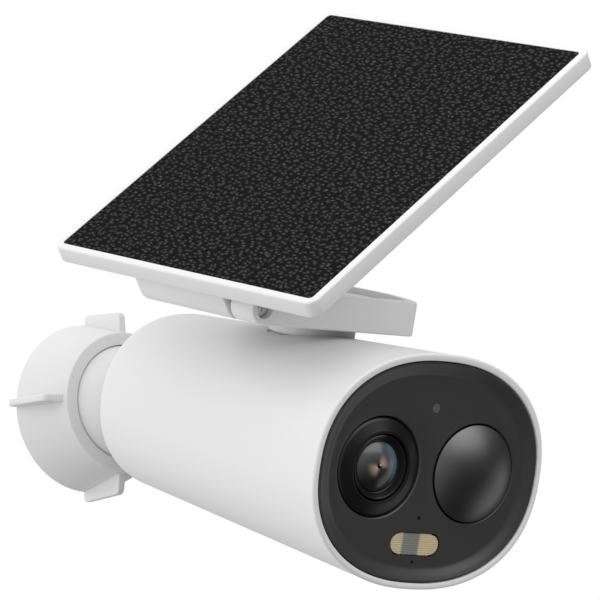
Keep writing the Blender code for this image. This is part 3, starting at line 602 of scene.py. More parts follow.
@dataclass(frozen=True)
class BoardFinish(Finish):
    """Solder mask with tracks and pads.

    Attributes:
        track: colour of the covered tracks.
    """

    track: Place = (0.03, 0.22, 0.10)

    def build(self) -> bpy.types.Material:
        """Builds the material.

        Returns:
            The material.
        """
        made, tree, shader = self.start()
        vector = self.coordinates(tree, Coordinates.OBJECT)
        darker = opaque(tuple(part * 0.8 for part in self.colour))
        bricks = add_node(tree, "ShaderNodeTexBrick", Vector=vector, Scale=260.0, Mortar_Size=0.06,
                          Color1=opaque(self.colour), Color2=darker, Mortar=opaque(self.track))
        tree.links.new(bricks.outputs["Color"], shader.inputs["Base Color"])
        self.bump(tree, shader, bricks.outputs["Fac"], self.depth)
        return made


@dataclass(frozen=True)
class LensFinish(Finish):
    """Dark coated lens with painted reflections about a black pupil: grey upper side, cool right edge, amber
    lobes and glints.

    Places and distances are in metres across the lens.

    Attributes:
        pupil: the pupil's place.
        black: colour of the pupil.
        pupil_fade: distances from its place where the pupil is full and where it ends.
        grey: colour of the painted reflection on the upper side.
        grey_slope: rise of the painted grey reflection's edge.
        grey_fade: heights above the pupil's level where the painted grey reflection is full and where it
            ends.
        cool: colour of the painted reflection in the coating's cool tint near the right edge.
        cool_slope: how far the painted cool reflection leans.
        cool_fade: distances right of the pupil where the painted cool reflection is full and where it ends.
        amber: colour of the painted reflections in the lobes beside the pupil.
        slant: slope of the line through both lobes, in degrees.
        lobe_fade: distances from the pupil where a lobe is full and where it ends.
        lobe_edge: the same two values for the lobe's sides, as a difference of distances.
        glint_fade: the same two values for a painted glint.
        glints: place and colour of each painted glint, a small bright reflection.
    """

    pupil: Point = (-0.0157, 0.0004)
    black: Place = (0.002, 0.002, 0.003)
    pupil_fade: Point = (0.0004, 0.0009)
    grey: Place = (0.075, 0.077, 0.08)
    grey_slope: float = 0.5
    grey_fade: Point = (0.006, -0.004)
    cool: Place = (0.11, 0.17, 0.20)
    cool_slope: float = 0.35
    cool_fade: Point = (0.0058, 0.0022)
    amber: Place = (0.42, 0.33, 0.24)
    slant: float = 37.0
    lobe_fade: Point = (0.0006, 0.0036)
    lobe_edge: Point = (-0.0012, 0.0010)
    glint_fade: Point = (0.00005, 0.00034)
    glints: tuple = (((-0.0164, -0.0001), (0.75, 0.65, 0.06)), ((-0.0154, 0.0007), (0.8, 0.7, 0.95)))

    def distance(self, tree: bpy.types.NodeTree, vector: object, place: Point) -> object:
        """Measures how far each point lies from a place on the lens.

        Args:
            tree: the material's tree.
            vector: the coordinate socket.
            place: the place.

        Returns:
            The distance socket.
        """
        return vector_node(tree, "DISTANCE", vector, (*place, 0.0), "Value")

    def along(self, tree: bpy.types.NodeTree, x: object, z: object, angle: float) -> object:
        """Measures how far each point lies from the pupil along a direction.

        Args:
            tree: the material's tree.
            x: socket of the place across.
            z: socket of the height.
            angle: the direction, in degrees.

        Returns:
            The distance socket.
        """
        cosine, sine = math.cos(math.radians(angle)), math.sin(math.radians(angle))
        offset = -self.pupil[0] * cosine - self.pupil[1] * sine
        across, tall = math_node(tree, "MULTIPLY", x, cosine), math_node(tree, "MULTIPLY", z, sine)
        part = math_node(tree, "ADD", across, tall)
        return math_node(tree, "ABSOLUTE", math_node(tree, "ADD", part, offset))

    def fade(self, tree: bpy.types.NodeTree, value: object, full: float, none: float) -> object:
        """Makes a mask that fades out.

        Args:
            tree: the material's tree.
            value: the value that it follows.
            full: the value where the mask is one.
            none: the value where it is zero.

        Returns:
            The mask's socket.
        """
        return ramp_node(tree, value, none, full)

    def build(self) -> bpy.types.Material:
        """Builds the material.

        Returns:
            The material.
        """
        made, tree, shader = self.start()
        vector = self.coordinates(tree, Coordinates.UV)
        parts = add_node(tree, "ShaderNodeSeparateXYZ", Vector=vector)
        x, z = parts.outputs["X"], parts.outputs["Y"]
        away = self.distance(tree, vector, self.pupil)
        rise = math_node(tree, "SUBTRACT", z, math_node(tree, "MULTIPLY", x, self.grey_slope))
        centre = -self.grey_slope * self.pupil[0]
        upper = self.fade(tree, rise, *(centre + reach for reach in self.grey_fade))
        right = math_node(tree, "ADD", x, math_node(tree, "MULTIPLY", z, self.cool_slope))
        edge = self.fade(tree, right, *(self.pupil[0] + reach for reach in self.cool_fade))
        side = self.along(tree, x, z, self.slant)
        level = self.along(tree, x, z, self.slant + 90.0)
        beside = self.fade(tree, math_node(tree, "SUBTRACT", level, side), *self.lobe_edge)
        lobes = math_node(tree, "MULTIPLY", self.fade(tree, away, *self.lobe_fade), beside)
        middle = self.fade(tree, away, *self.pupil_fade)
        # Painted reflections: grey on the upper side, a cool tint near the right edge and amber lobes, then
        # the black pupil and the painted glints.
        layers = [(upper, self.grey), (edge, self.cool), (lobes, self.amber), (middle, self.black)]
        for place, colour in self.glints:
            layers.append((self.fade(tree, self.distance(tree, vector, place), *self.glint_fade), colour))
        mixed: object = opaque(self.colour)
        for mask, colour in layers:
            mixed = mix_node(tree, mask, mixed, opaque(colour))
        tree.links.new(mixed, shader.inputs["Base Color"])
        return made


WHITE = (0.75, 0.75, 0.75)


class Look(Enum):
    """Every finish of the object."""

    SHELL = Finish("white_shell_satin", "white_shell", WHITE, 0.42, mottle=0.012, depth=0.000012)
    COLLAR = Finish("white_collar_satin", "white_shell", (0.73, 0.73, 0.73), 0.5, mottle=0.012,
                    depth=0.000012)
    FACE = Finish("black_face_satin", "black_face", (0.042, 0.042, 0.0425), 0.34, mottle=0.03, depth=0.000002,
                  sheen_span=0.02, specular=0.8)
    BEZEL = Finish("black_bezel", "black_face", (0.008, 0.008, 0.0085), 0.33, mottle=0.03, depth=0.000003)
    BARREL = Finish("black_barrel", "black_face", (0.01, 0.01, 0.011), 0.25, mottle=0.05, depth=0.000003)
    DOME = Finish("black_dome_gloss", "black_dome", (0.005, 0.005, 0.0055), 0.45, mottle=0.03,
                  depth=0.0000005, coat=1.0, coat_roughness=0.42, coat_ior=1.9, specular=1.0)
    # The lens's colour holds painted reflections and painted glints round its pupil.
    LENS = LensFinish("lens_painted_reflections", "lens_glass", (0.012, 0.013, 0.014), 0.3, coat=1.0, coat_roughness=0.2)
    WINDOW = WindowFinish("warm_window_ribbed", "warm_window", (0.72, 0.60, 0.36), 0.3, depth=0.00003)
    GUIDE = Finish("smoked_guide", "clear_guide", (0.10, 0.10, 0.10), 0.3, depth=0.000002)
    SEAL = Finish("black_seal", "black_rubber", (0.016, 0.016, 0.016), 0.8, grain=5000.0)
    HATCH = Finish("grey_hatch_rubber", "grey_rubber", (0.55, 0.55, 0.55), 0.7, grain=5000.0)
    BUTTON = Finish("button_grey", "button_plastic", (0.05, 0.05, 0.052), 0.5)
    SLIP = Finish("slip_ring_plastic", "slip_plastic", (0.35, 0.35, 0.33), 0.35)
    STEEL = Finish("plain_steel", "steel", (0.52, 0.52, 0.53), 0.32, metallic=1.0, mottle=0.08,
                   depth=0.000004)
    BOLT = Finish("bright_steel", "steel", (0.72, 0.72, 0.73), 0.5, metallic=0.7, mottle=0.05, depth=0.000003)
    BOARD = BoardFinish("green_board", "circuit_board", (0.012, 0.10, 0.045), 0.4, depth=0.00001)
    CELL = Finish("cell_wrap_blue", "cell_wrap", (0.02, 0.09, 0.32), 0.35, mottle=0.08, depth=0.00001)
    AERIAL = Finish("aerial_film", "aerial_flex", (0.20, 0.09, 0.02), 0.3, mottle=0.1, depth=0.00001)
    CELLS = Finish("dark_cells", "solar_cells", (0.006, 0.008, 0.02), 0.2, coat=0.5, depth=0.000002)
    WEAVE = WeaveFinish("solar_weave", "laminate", (0.02, 0.02, 0.022), 0.7, depth=0.0006, specular=0.02)

    def material(self) -> bpy.types.Material:
        """Builds the finish's material the first time that it is asked for.

        Returns:
            The material.
        """
        made = bpy.data.materials.get(self.value.name)
        return made or self.value.build()


# ---------------------------------------------------------------- mesh helpers
def oval(angle: float, half_x: float, half_z: float, power: float, centre_z: float) -> Point:
    """Works out a point of an oval between an ellipse and a rectangle.

    Args:
        angle: direction of the point.
        half_x: half width.
        half_z: half height.
        power: 2 for an ellipse, larger for squarer ovals.
        centre_z: height of the centre.

    Returns:
        The point's (x, z).
    """
    cosine, sine = math.cos(angle), math.sin(angle)
    reach = (abs(cosine) ** power + abs(sine) ** power) ** (-1.0 / power)
    return half_x * cosine * reach, centre_z + half_z * sine * reach


@dataclass(frozen=True)
class Station:
    """One ring of an oval skin.

    Attributes:
        y: distance behind the face.
        half_x: half width.
        half_z: half height.
        power: squareness, 2 for an ellipse.
        centre_z: height of the centre.
    """

    y: float
    half_x: float
    half_z: float
    power: float
    centre_z: float

    def moved(self, inset: float, y: float) -> "Station":
        """Moves the ring in and to another distance.

        Args:
            inset: how far the outline moves in.
            y: the new distance behind the face.

        Returns:
            The moved ring.
        """
        return Station(y, self.half_x - inset, self.half_z - inset, self.power, self.centre_z)


def oval_skin(stations: Sequence[Station], segments: int = 128, caps: bool = True) -> bmesh.types.BMesh:
    """Grows a skin ring by ring with extrusions of a circle.

    Args:
        stations: the rings in order.
        segments: points round each ring.
        caps: whether the two ends are closed.

    Returns:
        The skin.
    """
    bm = bmesh.new()
    angles = bm.verts.layers.float.new("angle")
    bmesh.ops.create_circle(bm, cap_ends=False, segments=segments, radius=1.0)
    for vert in bm.verts:
        vert[angles] = math.atan2(vert.co.y, vert.co.x)
    verts, edges = list(bm.verts), list(bm.edges)
    for index, station in enumerate(stations):
        if index:
            grown = bmesh.ops.extrude_edge_only(bm, edges=edges)["geom"]
            verts = [item for item in grown if isinstance(item, bmesh.types.BMVert)]
            new = set(verts)
            edges = [item for item in grown
                     if isinstance(item, bmesh.types.BMEdge) and set(item.verts) <= new]
        for vert in verts:
            x, z = oval(vert[angles], station.half_x, station.half_z, station.power, station.centre_z)
            vert.co = (x, station.y, z)
    if caps:
        bmesh.ops.holes_fill(bm, edges=[edge for edge in bm.edges if edge.is_boundary], sides=0)
        ends = [face for face in bm.faces if len(face.verts) > 4]
        bmesh.ops.inset_individual(bm, faces=ends, thickness=0.0008)
    bmesh.ops.recalc_face_normals(bm, faces=bm.faces)
    return bm


def turned(
    profile: Sequence[Point], steps: int = 96, centre: Place = (0, 0, 0), upright: bool = False
) -> bmesh.types.BMesh:
    """Spins a (radius, height) outline. Height runs towards -Y, or +Z if upright.

    Args:
        profile: the outline; one that starts on the axis is left open there.
        steps: segments of the full turn.
        centre: where the axis passes.
        upright: whether the axis is local Z.

    Returns:
        The turned body.
    """
    bm = bmesh.new()
    verts = [bm.verts.new((radius, 0.0, height)) for radius, height in profile]
    pairs = list(zip(verts, verts[1:]))
    if profile[0][0] > TINY:
        pairs.append((verts[-1], verts[0]))
    edges = [bm.edges.new(pair) for pair in pairs]
    bmesh.ops.spin(bm, geom=verts + edges, cent=(0, 0, 0), axis=(0, 0, 1), angle=math.tau, steps=steps,
                   use_merge=True)
    bmesh.ops.remove_doubles(bm, verts=bm.verts, dist=TINY)
    if not upright:
        level = Matrix.Rotation(math.radians(90.0), 3, "X")
        bmesh.ops.rotate(bm, verts=bm.verts, cent=(0, 0, 0), matrix=level)
    bmesh.ops.translate(bm, verts=bm.verts, vec=centre)
    bmesh.ops.recalc_face_normals(bm, faces=bm.faces)
    return bm


def prism(outline: Sequence[Point], low: float, high: float) -> bmesh.types.BMesh:
    """Extrudes a flat outline along Z.

    Args:
        outline: (x, y) points in order.
        low: lower height.
        high: upper height.

    Returns:
        The prism.
    """
    bm = bmesh.new()
    base = bm.faces.new([bm.verts.new((x, y, low)) for x, y in outline])
    grown = bmesh.ops.extrude_face_region(bm, geom=[base])["geom"]
    top = [item for item in grown if isinstance(item, bmesh.types.BMVert)]
    bmesh.ops.translate(bm, verts=top, vec=(0, 0, high - low))
    bmesh.ops.recalc_face_normals(bm, faces=bm.faces)
    return bm


def turn_mesh(bm: bmesh.types.BMesh, matrix: Matrix) -> bmesh.types.BMesh:
    """Moves a mesh.

    Args:
        bm: the mesh.
        matrix: the movement.

    Returns:
        The same mesh.
    """
    bmesh.ops.transform(bm, matrix=matrix, verts=bm.verts)
    return bm


def soften(bm: bmesh.types.BMesh, width: float, angle: float = 35.0, segments: int = 2) -> bmesh.types.BMesh:
    """Rounds the sharp edges.

    Args:
        bm: the mesh.
        width: bevel width.
        angle: smallest angle between faces that counts as sharp, in degrees.
        segments: segments across the round.

    Returns:
        The mesh.
    """
    limit = math.radians(angle)
    sharp = [edge for edge in bm.edges if edge.is_manifold and edge.calc_face_angle(0.0) > limit]
    bmesh.ops.bevel(bm, geom=sharp, offset=width, segments=segments, profile=0.5, affect="EDGES", material=-1,
                    clamp_overlap=True)
    return bm


def mesh_of(bm: bmesh.types.BMesh, name: str) -> bpy.types.Object:
    """Puts a bmesh into a new object and frees it.

    Args:
        bm: the mesh.
        name: the object's name.

    Returns:
        The object.
    """
    mesh = bpy.data.meshes.new(name)
    bm.to_mesh(mesh)
    bm.free()
    obj = bpy.data.objects.new(name, mesh)
    bpy.context.scene.collection.objects.link(obj)
    return obj


def combine(
    target: bmesh.types.BMesh, tools: Sequence[bmesh.types.BMesh], operation: str = "DIFFERENCE"
) -> bmesh.types.BMesh:
    """Cuts or joins meshes with Boolean modifiers and takes the result.

    Args:
        target: the mesh that is changed.
        tools: the cutters or added bodies.
        operation: the Boolean operation.

    Returns:
        The resulting mesh.
    """
    obj = mesh_of(target, "blank")
    scratch = [mesh_of(tool, "tool") for tool in tools]
    for tool in scratch:
        modifier = obj.modifiers.new("cut", "BOOLEAN")
        modifier.operation = operation
        modifier.object = tool
    bpy.context.view_layer.update()
    graph = bpy.context.evaluated_depsgraph_get()
    result = bmesh.new()
    result.from_object(obj, graph)
    for item in [obj, *scratch]:
        bpy.data.objects.remove(item, do_unlink=True)
    bmesh.ops.remove_doubles(result, verts=result.verts, dist=TINY)
    return result


def rod(start: Place, end: Place, radius: float, segments: int = 48) -> bmesh.types.BMesh:
    """Makes a closed cylinder between two points.

    Args:
        start: centre of one end.
        end: centre of the other end.
        radius: the cylinder's radius.
        segments: segments round it.

    Returns:
        The cylinder.
    """
    bm = bmesh.new()
    first, last = Vector(start), Vector(end)
    turn = Vector((0, 0, 1)).rotation_difference(last - first).to_matrix().to_4x4()
    bmesh.ops.create_cone(bm, cap_ends=True, segments=segments, radius1=radius, radius2=radius,
                          depth=(last - first).length, matrix=Matrix.Translation((first + last) / 2) @ turn)
    return bm


def block(low: Place, high: Place) -> bmesh.types.BMesh:
    """Makes a closed box.

    Args:
        low: the corner with the smallest coordinates.
        high: the corner with the largest.

    Returns:
        The box.
    """
    bm = bmesh.new()
    size = Vector(high) - Vector(low)
    place = Matrix.Translation((Vector(low) + Vector(high)) / 2) @ Matrix.Diagonal((*size, 1.0))
    bmesh.ops.create_cube(bm, size=1.0, matrix=place)
    return bm


def arc(centre: Point, radius: float, start: float, end: float, count: int) -> list[Point]:
    """Lists points on an arc, both ends included.

    Args:
        centre: the arc's centre.
        radius: its radius.
        start: first angle, in degrees.
        end: last angle, in degrees.
        count: how many steps it takes.

    Returns:
        The points.
    """
    steps = [math.radians(start + (end - start) * step / count) for step in range(count + 1)]
    return [(centre[0] + radius * math.cos(a), centre[1] + radius * math.sin(a)) for a in steps]


def bowl(radius: float, start: float, end: float, count: int, centre: float = 0.0) -> list[Point]:
    """Lists the profile of a sphere about the turning axis.

    Args:
        radius: the sphere's radius.
        start: first angle from the front pole, in degrees.
        end: last angle, in degrees.
        count: how many steps it takes.
        centre: height of the sphere's centre.

    Returns:
        The (radius, height) points.
    """
    steps = [math.radians(start + (end - start) * step / count) for step in range(count + 1)]
    return [(max(radius * math.sin(a), 0.0), centre + radius * math.cos(a)) for a in steps]


def ring(count: int, radius: float, first: float) -> list[Point]:
    """Lists places spread evenly round a circle about the origin.

    Args:
        count: how many places there are.
        radius: the circle's radius.
        first: angle of the first one, in degrees.

    Returns:
        The places.
    """
    angles = [math.radians(first + 360.0 / count * index) for index in range(count)]
    return [(radius * math.cos(a), radius * math.sin(a)) for a in angles]


def rounded_rectangle(
    centre: Point, half_x: float, half_y: float, radius: float, count: int = 8
) -> list[Point]:
    """Lists a rectangle's outline with round corners.

    Args:
        centre: the rectangle's centre.
        half_x: half its length.
        half_y: half its width.
        radius: the corners' radius.
        count: steps round each corner.

    Returns:
        The outline.
    """
    points: list[Point] = []
    for sign_x, sign_y, start in ((1, 1, 0), (-1, 1, 90), (-1, -1, 180), (1, -1, 270)):
        corner = (centre[0] + sign_x * (half_x - radius), centre[1] + sign_y * (half_y - radius))
        points += arc(corner, radius, start, start + 90, count)
    return points


def stadium(half_length: float, half_height: float, centre: Point, count: int = 16) -> list[Point]:
    """Lists a slot's outline with half-round ends.

    Args:
        half_length: half its length.
        half_height: half its height.
        centre: the slot's centre.
        count: steps round each end.

    Returns:
        The outline.
    """
    reach = half_length - half_height
    right = arc((centre[0] + reach, centre[1]), half_height, -90, 90, count)
    return right + arc((centre[0] - reach, centre[1]), half_height, 90, 270, count)


STAND = Matrix.Rotation(math.radians(90.0), 4, "X")  # stands a flat outline up, with its y as height


# ---------------------------------------------------------------- sub-assemblies
@dataclass
class Assembly:
    """A sub-assembly that builds its pieces in a local frame.

    Attributes:
        place: the local-to-world matrix.
        body: the CAD body that the pieces ride on.
        made: names of the finished pieces.
    """

    place: Matrix
    body: str
    made: list[str] = field(default_factory=list)

    def add(
        self, name: str, bm: bmesh.types.BMesh, look: Look, nodes: Sequence[str] = (), angle: float = 32.0,
        uv: str = "",
    ) -> bpy.types.Object:
        """Finishes a piece: places its mesh, dresses it and ties it to its body.

        Args:
            name: the piece's name.
            bm: its mesh in the local frame.
            look: its finish.
            nodes: the CAD nodes that it stands for.
            angle: edges sharper than this stay sharp, in degrees.
            uv: "front" keeps local x and z as a UV map in metres, and "top" x and y.

        Returns:
            The piece.
        """
        if uv:
            layer = bm.loops.layers.uv.new("flat")
            for face in bm.faces:
                for loop in face.loops:
                    loop[layer].uv = (loop.vert.co.x, loop.vert.co.z if uv == "front" else loop.vert.co.y)
        bmesh.ops.transform(bm, matrix=self.place, verts=bm.verts)
        obj = mesh_of(bm, name)
        obj.data.shade_smooth()
        obj.data.set_sharp_from_angle(angle=math.radians(angle))
        obj.data.materials.append(look.material())
        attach(obj, self.body)
        if nodes:
            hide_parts(*nodes)
        self.made.append(name)
        return obj


@dataclass
class WallMount(Assembly):
    """Base plate and threaded cup on the wall.

    Attributes:
        base_r: radius of the plate.
        base_t: its thickness.
        cup_r: outer radius of the cup.
        bore: inner radius of the cup.
        cup_end: how far the cup stands out from the wall.
        pitch: pitch of its thread.
        depth: depth of its thread.
        hole_ring: radius of the circle of screw holes.
        hole_r: radius of a screw hole.
    """

    base_r: float = 0.020
    base_t: float = 0.0039
    cup_r: float = 0.0184
    bore: float = 0.0169
    cup_end: float = 0.0173
    pitch: float = 0.002
    depth: float = 0.0005
    hole_ring: float = 0.0105
    hole_r: float = 0.0021

    def build(self) -> None:
        """Builds the base plate with its screw holes and threaded cup."""
        profile = [(0.0, self.base_t), (self.bore, self.base_t), (self.bore, self.cup_end)]
        top, root = self.cup_end, self.cup_r - self.depth
        while top - self.pitch > self.base_t + 0.001:
            profile += [(self.cup_r, top), (self.cup_r, top - self.pitch * 0.3),
                        (root, top - self.pitch * 0.5), (root, top - self.pitch * 0.8)]
            top -= self.pitch
        profile += [
            (self.cup_r, top), (self.cup_r, self.base_t), (self.base_r - 0.0006, self.base_t),
            (self.base_r, self.base_t - 0.0006), (self.base_r, 0.0), (0.0, 0.0),
        ]
        body = turned(profile)
        tools = [rod((x, 0.001, z), (x, -self.base_t - 0.001, z), self.hole_r)
                 for x, z in ring(3, self.hole_ring, 90.0)]
        self.add("wall_base_plate", combine(body, tools), Look.SHELL, ("wall_base",))


@dataclass
class Collar(Assembly):
    """Winged collar nut. Distances out from the wall are measured along its axis.

    Attributes:
        ball_out: distance from the wall to the ball centre.
        back: where the collar starts.
        front: where it ends.
        back_r: outer radius at the back.
        front_r: outer radius at the front.
        mouth_r: radius of the mouth round the ball.
        seat_r: radius of the round seat inside the mouth.
        seat_span: first and last angle of that seat, in degrees.
        inner_r: radius of the bore over the cup.
        lip: where the bore ends.
        wing_end: where the wings' outer edge ends.
        wing_foot: distance from the axis to a wing's foot.
        wing_tips: distance from the axis to a wing's rear and front tip.
        wing_root: half a wing's thickness at its foot.
        wing_edge: half its thickness at its edge.
    """

    ball_out: float = 0.0198
    back: float = 0.0042
    front: float = 0.0238
    back_r: float = 0.02306
    front_r: float = 0.0191
    mouth_r: float = 0.0157
    seat_r: float = 0.0162
    seat_span: Point = (76.0, 97.0)
    inner_r: float = 0.0187
    lip: float = 0.0176
    wing_end: float = 0.0217
    wing_foot: float = 0.0185
    wing_tips: Point = (0.0259, 0.0248)
    wing_root: float = 0.00115
    wing_edge: float = 0.00092

    def wing(self) -> bmesh.types.BMesh:
        """Builds one wing, thicker at its root, standing up from the collar.

        Returns:
            The wing.
        """
        start, (rear_tip, front_tip) = self.back + 0.0004, self.wing_tips
        side = [(start, 0.0197), (start, rear_tip), (self.wing_end, front_tip),
                (self.wing_end + 0.0006, self.wing_foot)]
        bm = prism(side, -1.0, 1.0)
        for vert in bm.verts:
            share = (vert.co.y - self.wing_foot) / (rear_tip - self.wing_foot)
            vert.co.z *= self.wing_root + (self.wing_edge - self.wing_root) * share
        ends = [edge for edge in bm.edges if min(vert.co.y for vert in edge.verts) > front_tip - TINY
                and abs(edge.verts[0].co.z - edge.verts[1].co.z) > 0.001]
        bmesh.ops.bevel(bm, geom=ends, offset=0.0014, segments=5, profile=0.5, affect="EDGES", material=-1)
        rims = [edge for edge in bm.edges if edge.calc_face_angle(0.0) > 0.9
                and max(vert.co.y for vert in edge.verts) > 0.0205]
        bmesh.ops.bevel(bm, geom=rims, offset=0.00035, segments=3, profile=0.5, affect="EDGES", material=-1,
                        clamp_overlap=True)
        stand = Matrix(((0, 0, 1, 0), (-1, 0, 0, 0), (0, 1, 0, 0), (0, 0, 0, 1)))
        return turn_mesh(bm, stand)

    def build(self) -> None:
        """Builds the collar with its four wings."""
        mouth = bowl(self.seat_r, *self.seat_span, 6, self.ball_out)
        profile = [(self.mouth_r, self.front), (self.front_r - 0.0004, self.front)]
        profile += arc((self.front_r - 0.0004, self.front - 0.0004), 0.0004, 90, 10, 3)
        profile += [(self.back_r, self.back + 0.0008), (self.back_r - 0.0008, self.back)]
        profile += [(self.inner_r, self.back)]
        profile += [(self.inner_r, self.lip), (mouth[-1][0], self.lip)] + mouth[:0:-1]
        body = turned(profile, 128)
        wings = [turn_mesh(self.wing(), Matrix.Rotation(math.radians(90.0 * index), 4, "Y"))
                 for index in range(4)]
        self.add("winged_collar", combine(body, wings, "UNION"), Look.COLLAR, ("collar_nut",))


@dataclass
class BallStud(Assembly):
    """Ball with its neck and stud. Distances run from the ball centre towards the camera.

    Attributes:
        ball_r: radius of the ball.
        flat: how far its flat lies behind the centre.
        hollow_r: radius of the dimple in the flat.
        neck_r: radius of the neck.
        stud_r: radius of the stud.
        reach: where the neck ends.
        tip: where the stud ends.
    """

    ball_r: float = 0.0159
    flat: float = 0.0095
    hollow_r: float = 0.0058
    neck_r: float = 0.0095
    stud_r: float = 0.004
    reach: float = 0.02525
    tip: float = 0.0367

    def build(self) -> None:
        """Builds the ball, neck and stud as one turned piece."""
        flat_angle = 180.0 - math.degrees(math.acos(self.flat / self.ball_r))
        neck_angle = math.degrees(math.asin(self.neck_r / self.ball_r)) + 3.0
        neck_top = self.ball_r * math.cos(math.radians(neck_angle))
        profile = [(0.0, self.tip), (self.stud_r - 0.0006, self.tip), (self.stud_r, self.tip - 0.0006)]
        profile += [(self.stud_r, self.reach), (self.neck_r - 0.0004, self.reach)]
        profile += [(self.neck_r, self.reach - 0.0004)]
        profile += [(self.neck_r, neck_top + 0.0018), (self.neck_r + 0.0002, neck_top + 0.0007)]
        profile += bowl(self.ball_r, neck_angle, flat_angle, 32)
        profile += [(self.hollow_r, -self.flat)] + bowl(self.hollow_r, 90.0, 0.0, 8)
        self.add("ball_and_neck", turned(profile, 96), Look.SHELL, ("ball_stud",))


@dataclass
class BodyShell(Assembly):
    """Tapered oval housing.

    Attributes:
        front: its outer ring at the rim.
        rear: its outer ring where the rear edge starts to round.
        mouth: the opening that takes the front cover.
        fillet: radius of the rear edge.
        wall: thickness of the wall.
        lip: radius of the rim's round edge.
        neck_y: distance from the face to the neck.
        neck_hole_r: radius of the neck's hole.
        stud_z: height of the stud's hole in the rear.
        stud_hole_r: its radius.
        hatch: half width, near end and far end of the port opening.
        hatch_corner: radius of that opening's corners.
        belly: heights between which the opening's cutter reaches.
        speaker_y: distance from the face to the speaker holes.
        speaker_ring: radius of their circle.
        speaker_hole_r: radius of one of them.
    """

    front: Station = Station(-0.0016, 0.03546, 0.02913, 2.29, -0.00015)
    rear: Station = Station(0.1025, 0.02621, 0.02369, 2.17, -0.00084)
    mouth: Station = Station(0.0024, 0.0339, 0.02742, 2.27, -0.00029)
    fillet: float = 0.00585
    wall: float = 0.0022
    lip: float = 0.0006
    neck_y: float = 0.0537
    neck_hole_r: float = 0.01135
    stud_z: float = -0.0066
    stud_hole_r: float = 0.0043
    hatch: Place = (0.0055, 0.066, 0.090)
    hatch_corner: float = 0.0012
    belly: Point = (-0.03, -0.019)
    speaker_y: float = 0.048
    speaker_ring: float = 0.0035
    speaker_hole_r: float = 0.0007

    def at(self, y: float) -> Station:
        """Finds an outer ring of the taper.

        Args:
            y: its distance behind the face.

        Returns:
            The ring.
        """
        share = (y - self.front.y) / (self.rear.y - self.front.y)
        keys = ("half_x", "half_z", "power", "centre_z")
        ends = [(getattr(self.front, key), getattr(self.rear, key)) for key in keys]
        return Station(y, *(near + (far - near) * share for near, far in ends))

    def opening(self, inset: float, radius: float) -> list[Point]:
        """Lists the outline of the port opening.

        Args:
            inset: how far the outline moves in.
            radius: the corners' radius.

        Returns:
            The outline, seen from below.
        """
        half, near, far = self.hatch
        return rounded_rectangle((0, (near + far) / 2), half - inset, (far - near) / 2 - inset, radius)

    def back_round(self, inset: float, radius: float, count: int) -> list[Station]:
        """Lists the rings of the round rear edge.

        Args:
            inset: distance in from the outer skin.
            radius: the edge's radius.
            count: how many rings there are.

        Returns:
            The rings.
        """
        rings = []
        for step in range(1, count + 1):
            angle = math.radians(90.0 * step / count)
            drawn = inset + radius * (1.0 - math.cos(angle))
            rings.append(self.rear.moved(drawn, self.rear.y + radius * math.sin(angle)))
        return rings

    def skin(self, inset: float, first: float, radius: float, count: int = 26) -> list[Station]:
        """Lists the rings along the taper and round the rear edge.

        Args:
            inset: distance in from the outer skin.
            first: distance behind the face of the first ring.
            radius: the rear edge's radius.
            count: steps along the taper.

        Returns:
            The rings.
        """
        rings = []
        for step in range(count + 1):
            y = first + (self.rear.y - first) * step / count
            rings.append(self.at(y).moved(inset, y))
        return rings + self.back_round(inset, radius, 10)

    def build(self) -> None:
        """Builds the shell with its neck, stud, port and speaker holes."""
        inner = self.skin(self.wall, self.mouth.y, self.fillet - self.wall)[::-1]
        step_in = [self.mouth, self.mouth.moved(0.0, self.front.y + 0.0005),
                   self.mouth.moved(-0.00015, self.front.y + 0.00012),
                   self.mouth.moved(-0.0004, self.front.y)]
        rim = []
        for step in range(1, 6):
            angle = math.radians(90.0 * step / 5)
            rim.append(self.front.moved(self.lip * (1.0 - math.sin(angle)),
                                        self.front.y + self.lip * (1.0 - math.cos(angle))))
        start = self.front.moved(self.lip, self.front.y)
        outer = self.skin(0.0, self.front.y + self.lip + 0.0006, self.fillet)
        body = oval_skin(inner + step_in + [start] + rim + outer, 144)
        crown = self.at(self.neck_y).centre_z + self.at(self.neck_y).half_z
        tools = [
            rod((0, self.neck_y, crown - 0.008), (0, self.neck_y, crown + 0.004), self.neck_hole_r, 64),
            rod((0, self.rear.y, self.stud_z), (0, self.rear.y + 0.01, self.stud_z), self.stud_hole_r),
            prism(self.opening(0.0, self.hatch_corner), *self.belly),
        ]
        for x, y in [*ring(6, self.speaker_ring, 0.0), (0.0, 0.0)]:
            place = self.speaker_y + y
            tools.append(rod((x, place, -0.032), (x, place, -0.021), self.speaker_hole_r, 20))
        self.add("body_shell", combine(body, tools), Look.SHELL, ("main_shell",), 28.0)


@dataclass
class Hatch(Assembly):
    """Rubber cover over the ports in the belly.

    Attributes:
        shell: the housing that it closes.
        gap: clearance round it.
        sink: how far it lies below the housing's skin.
    """

    shell: BodyShell = field(default_factory=lambda: BodyShell(Matrix.Identity(4), ""))
    gap: float = 0.0003
    sink: float = 0.00005

    def build(self) -> None:
        """Cuts the cover out of the shell's wall, with a finger groove."""
        shell = self.shell
        near = shell.hatch[1]
        outer = oval_skin(shell.skin(self.sink, 0.0, shell.fillet), 144)
        inner = oval_skin(shell.skin(shell.wall, 0.0, shell.fillet - shell.wall), 144)
        cover = combine(outer, [inner])
        cover = combine(cover, [prism(shell.opening(self.gap, 0.001), *shell.belly)], "INTERSECT")
        depth = shell.at(near).half_z - shell.at(near).centre_z
        groove = rod((-0.002, near + 0.0022, -depth), (0.002, near + 0.0022, -depth), 0.0006, 24)
        self.add("port_hatch", combine(cover, [groove]), Look.HATCH, ("port_cover",))


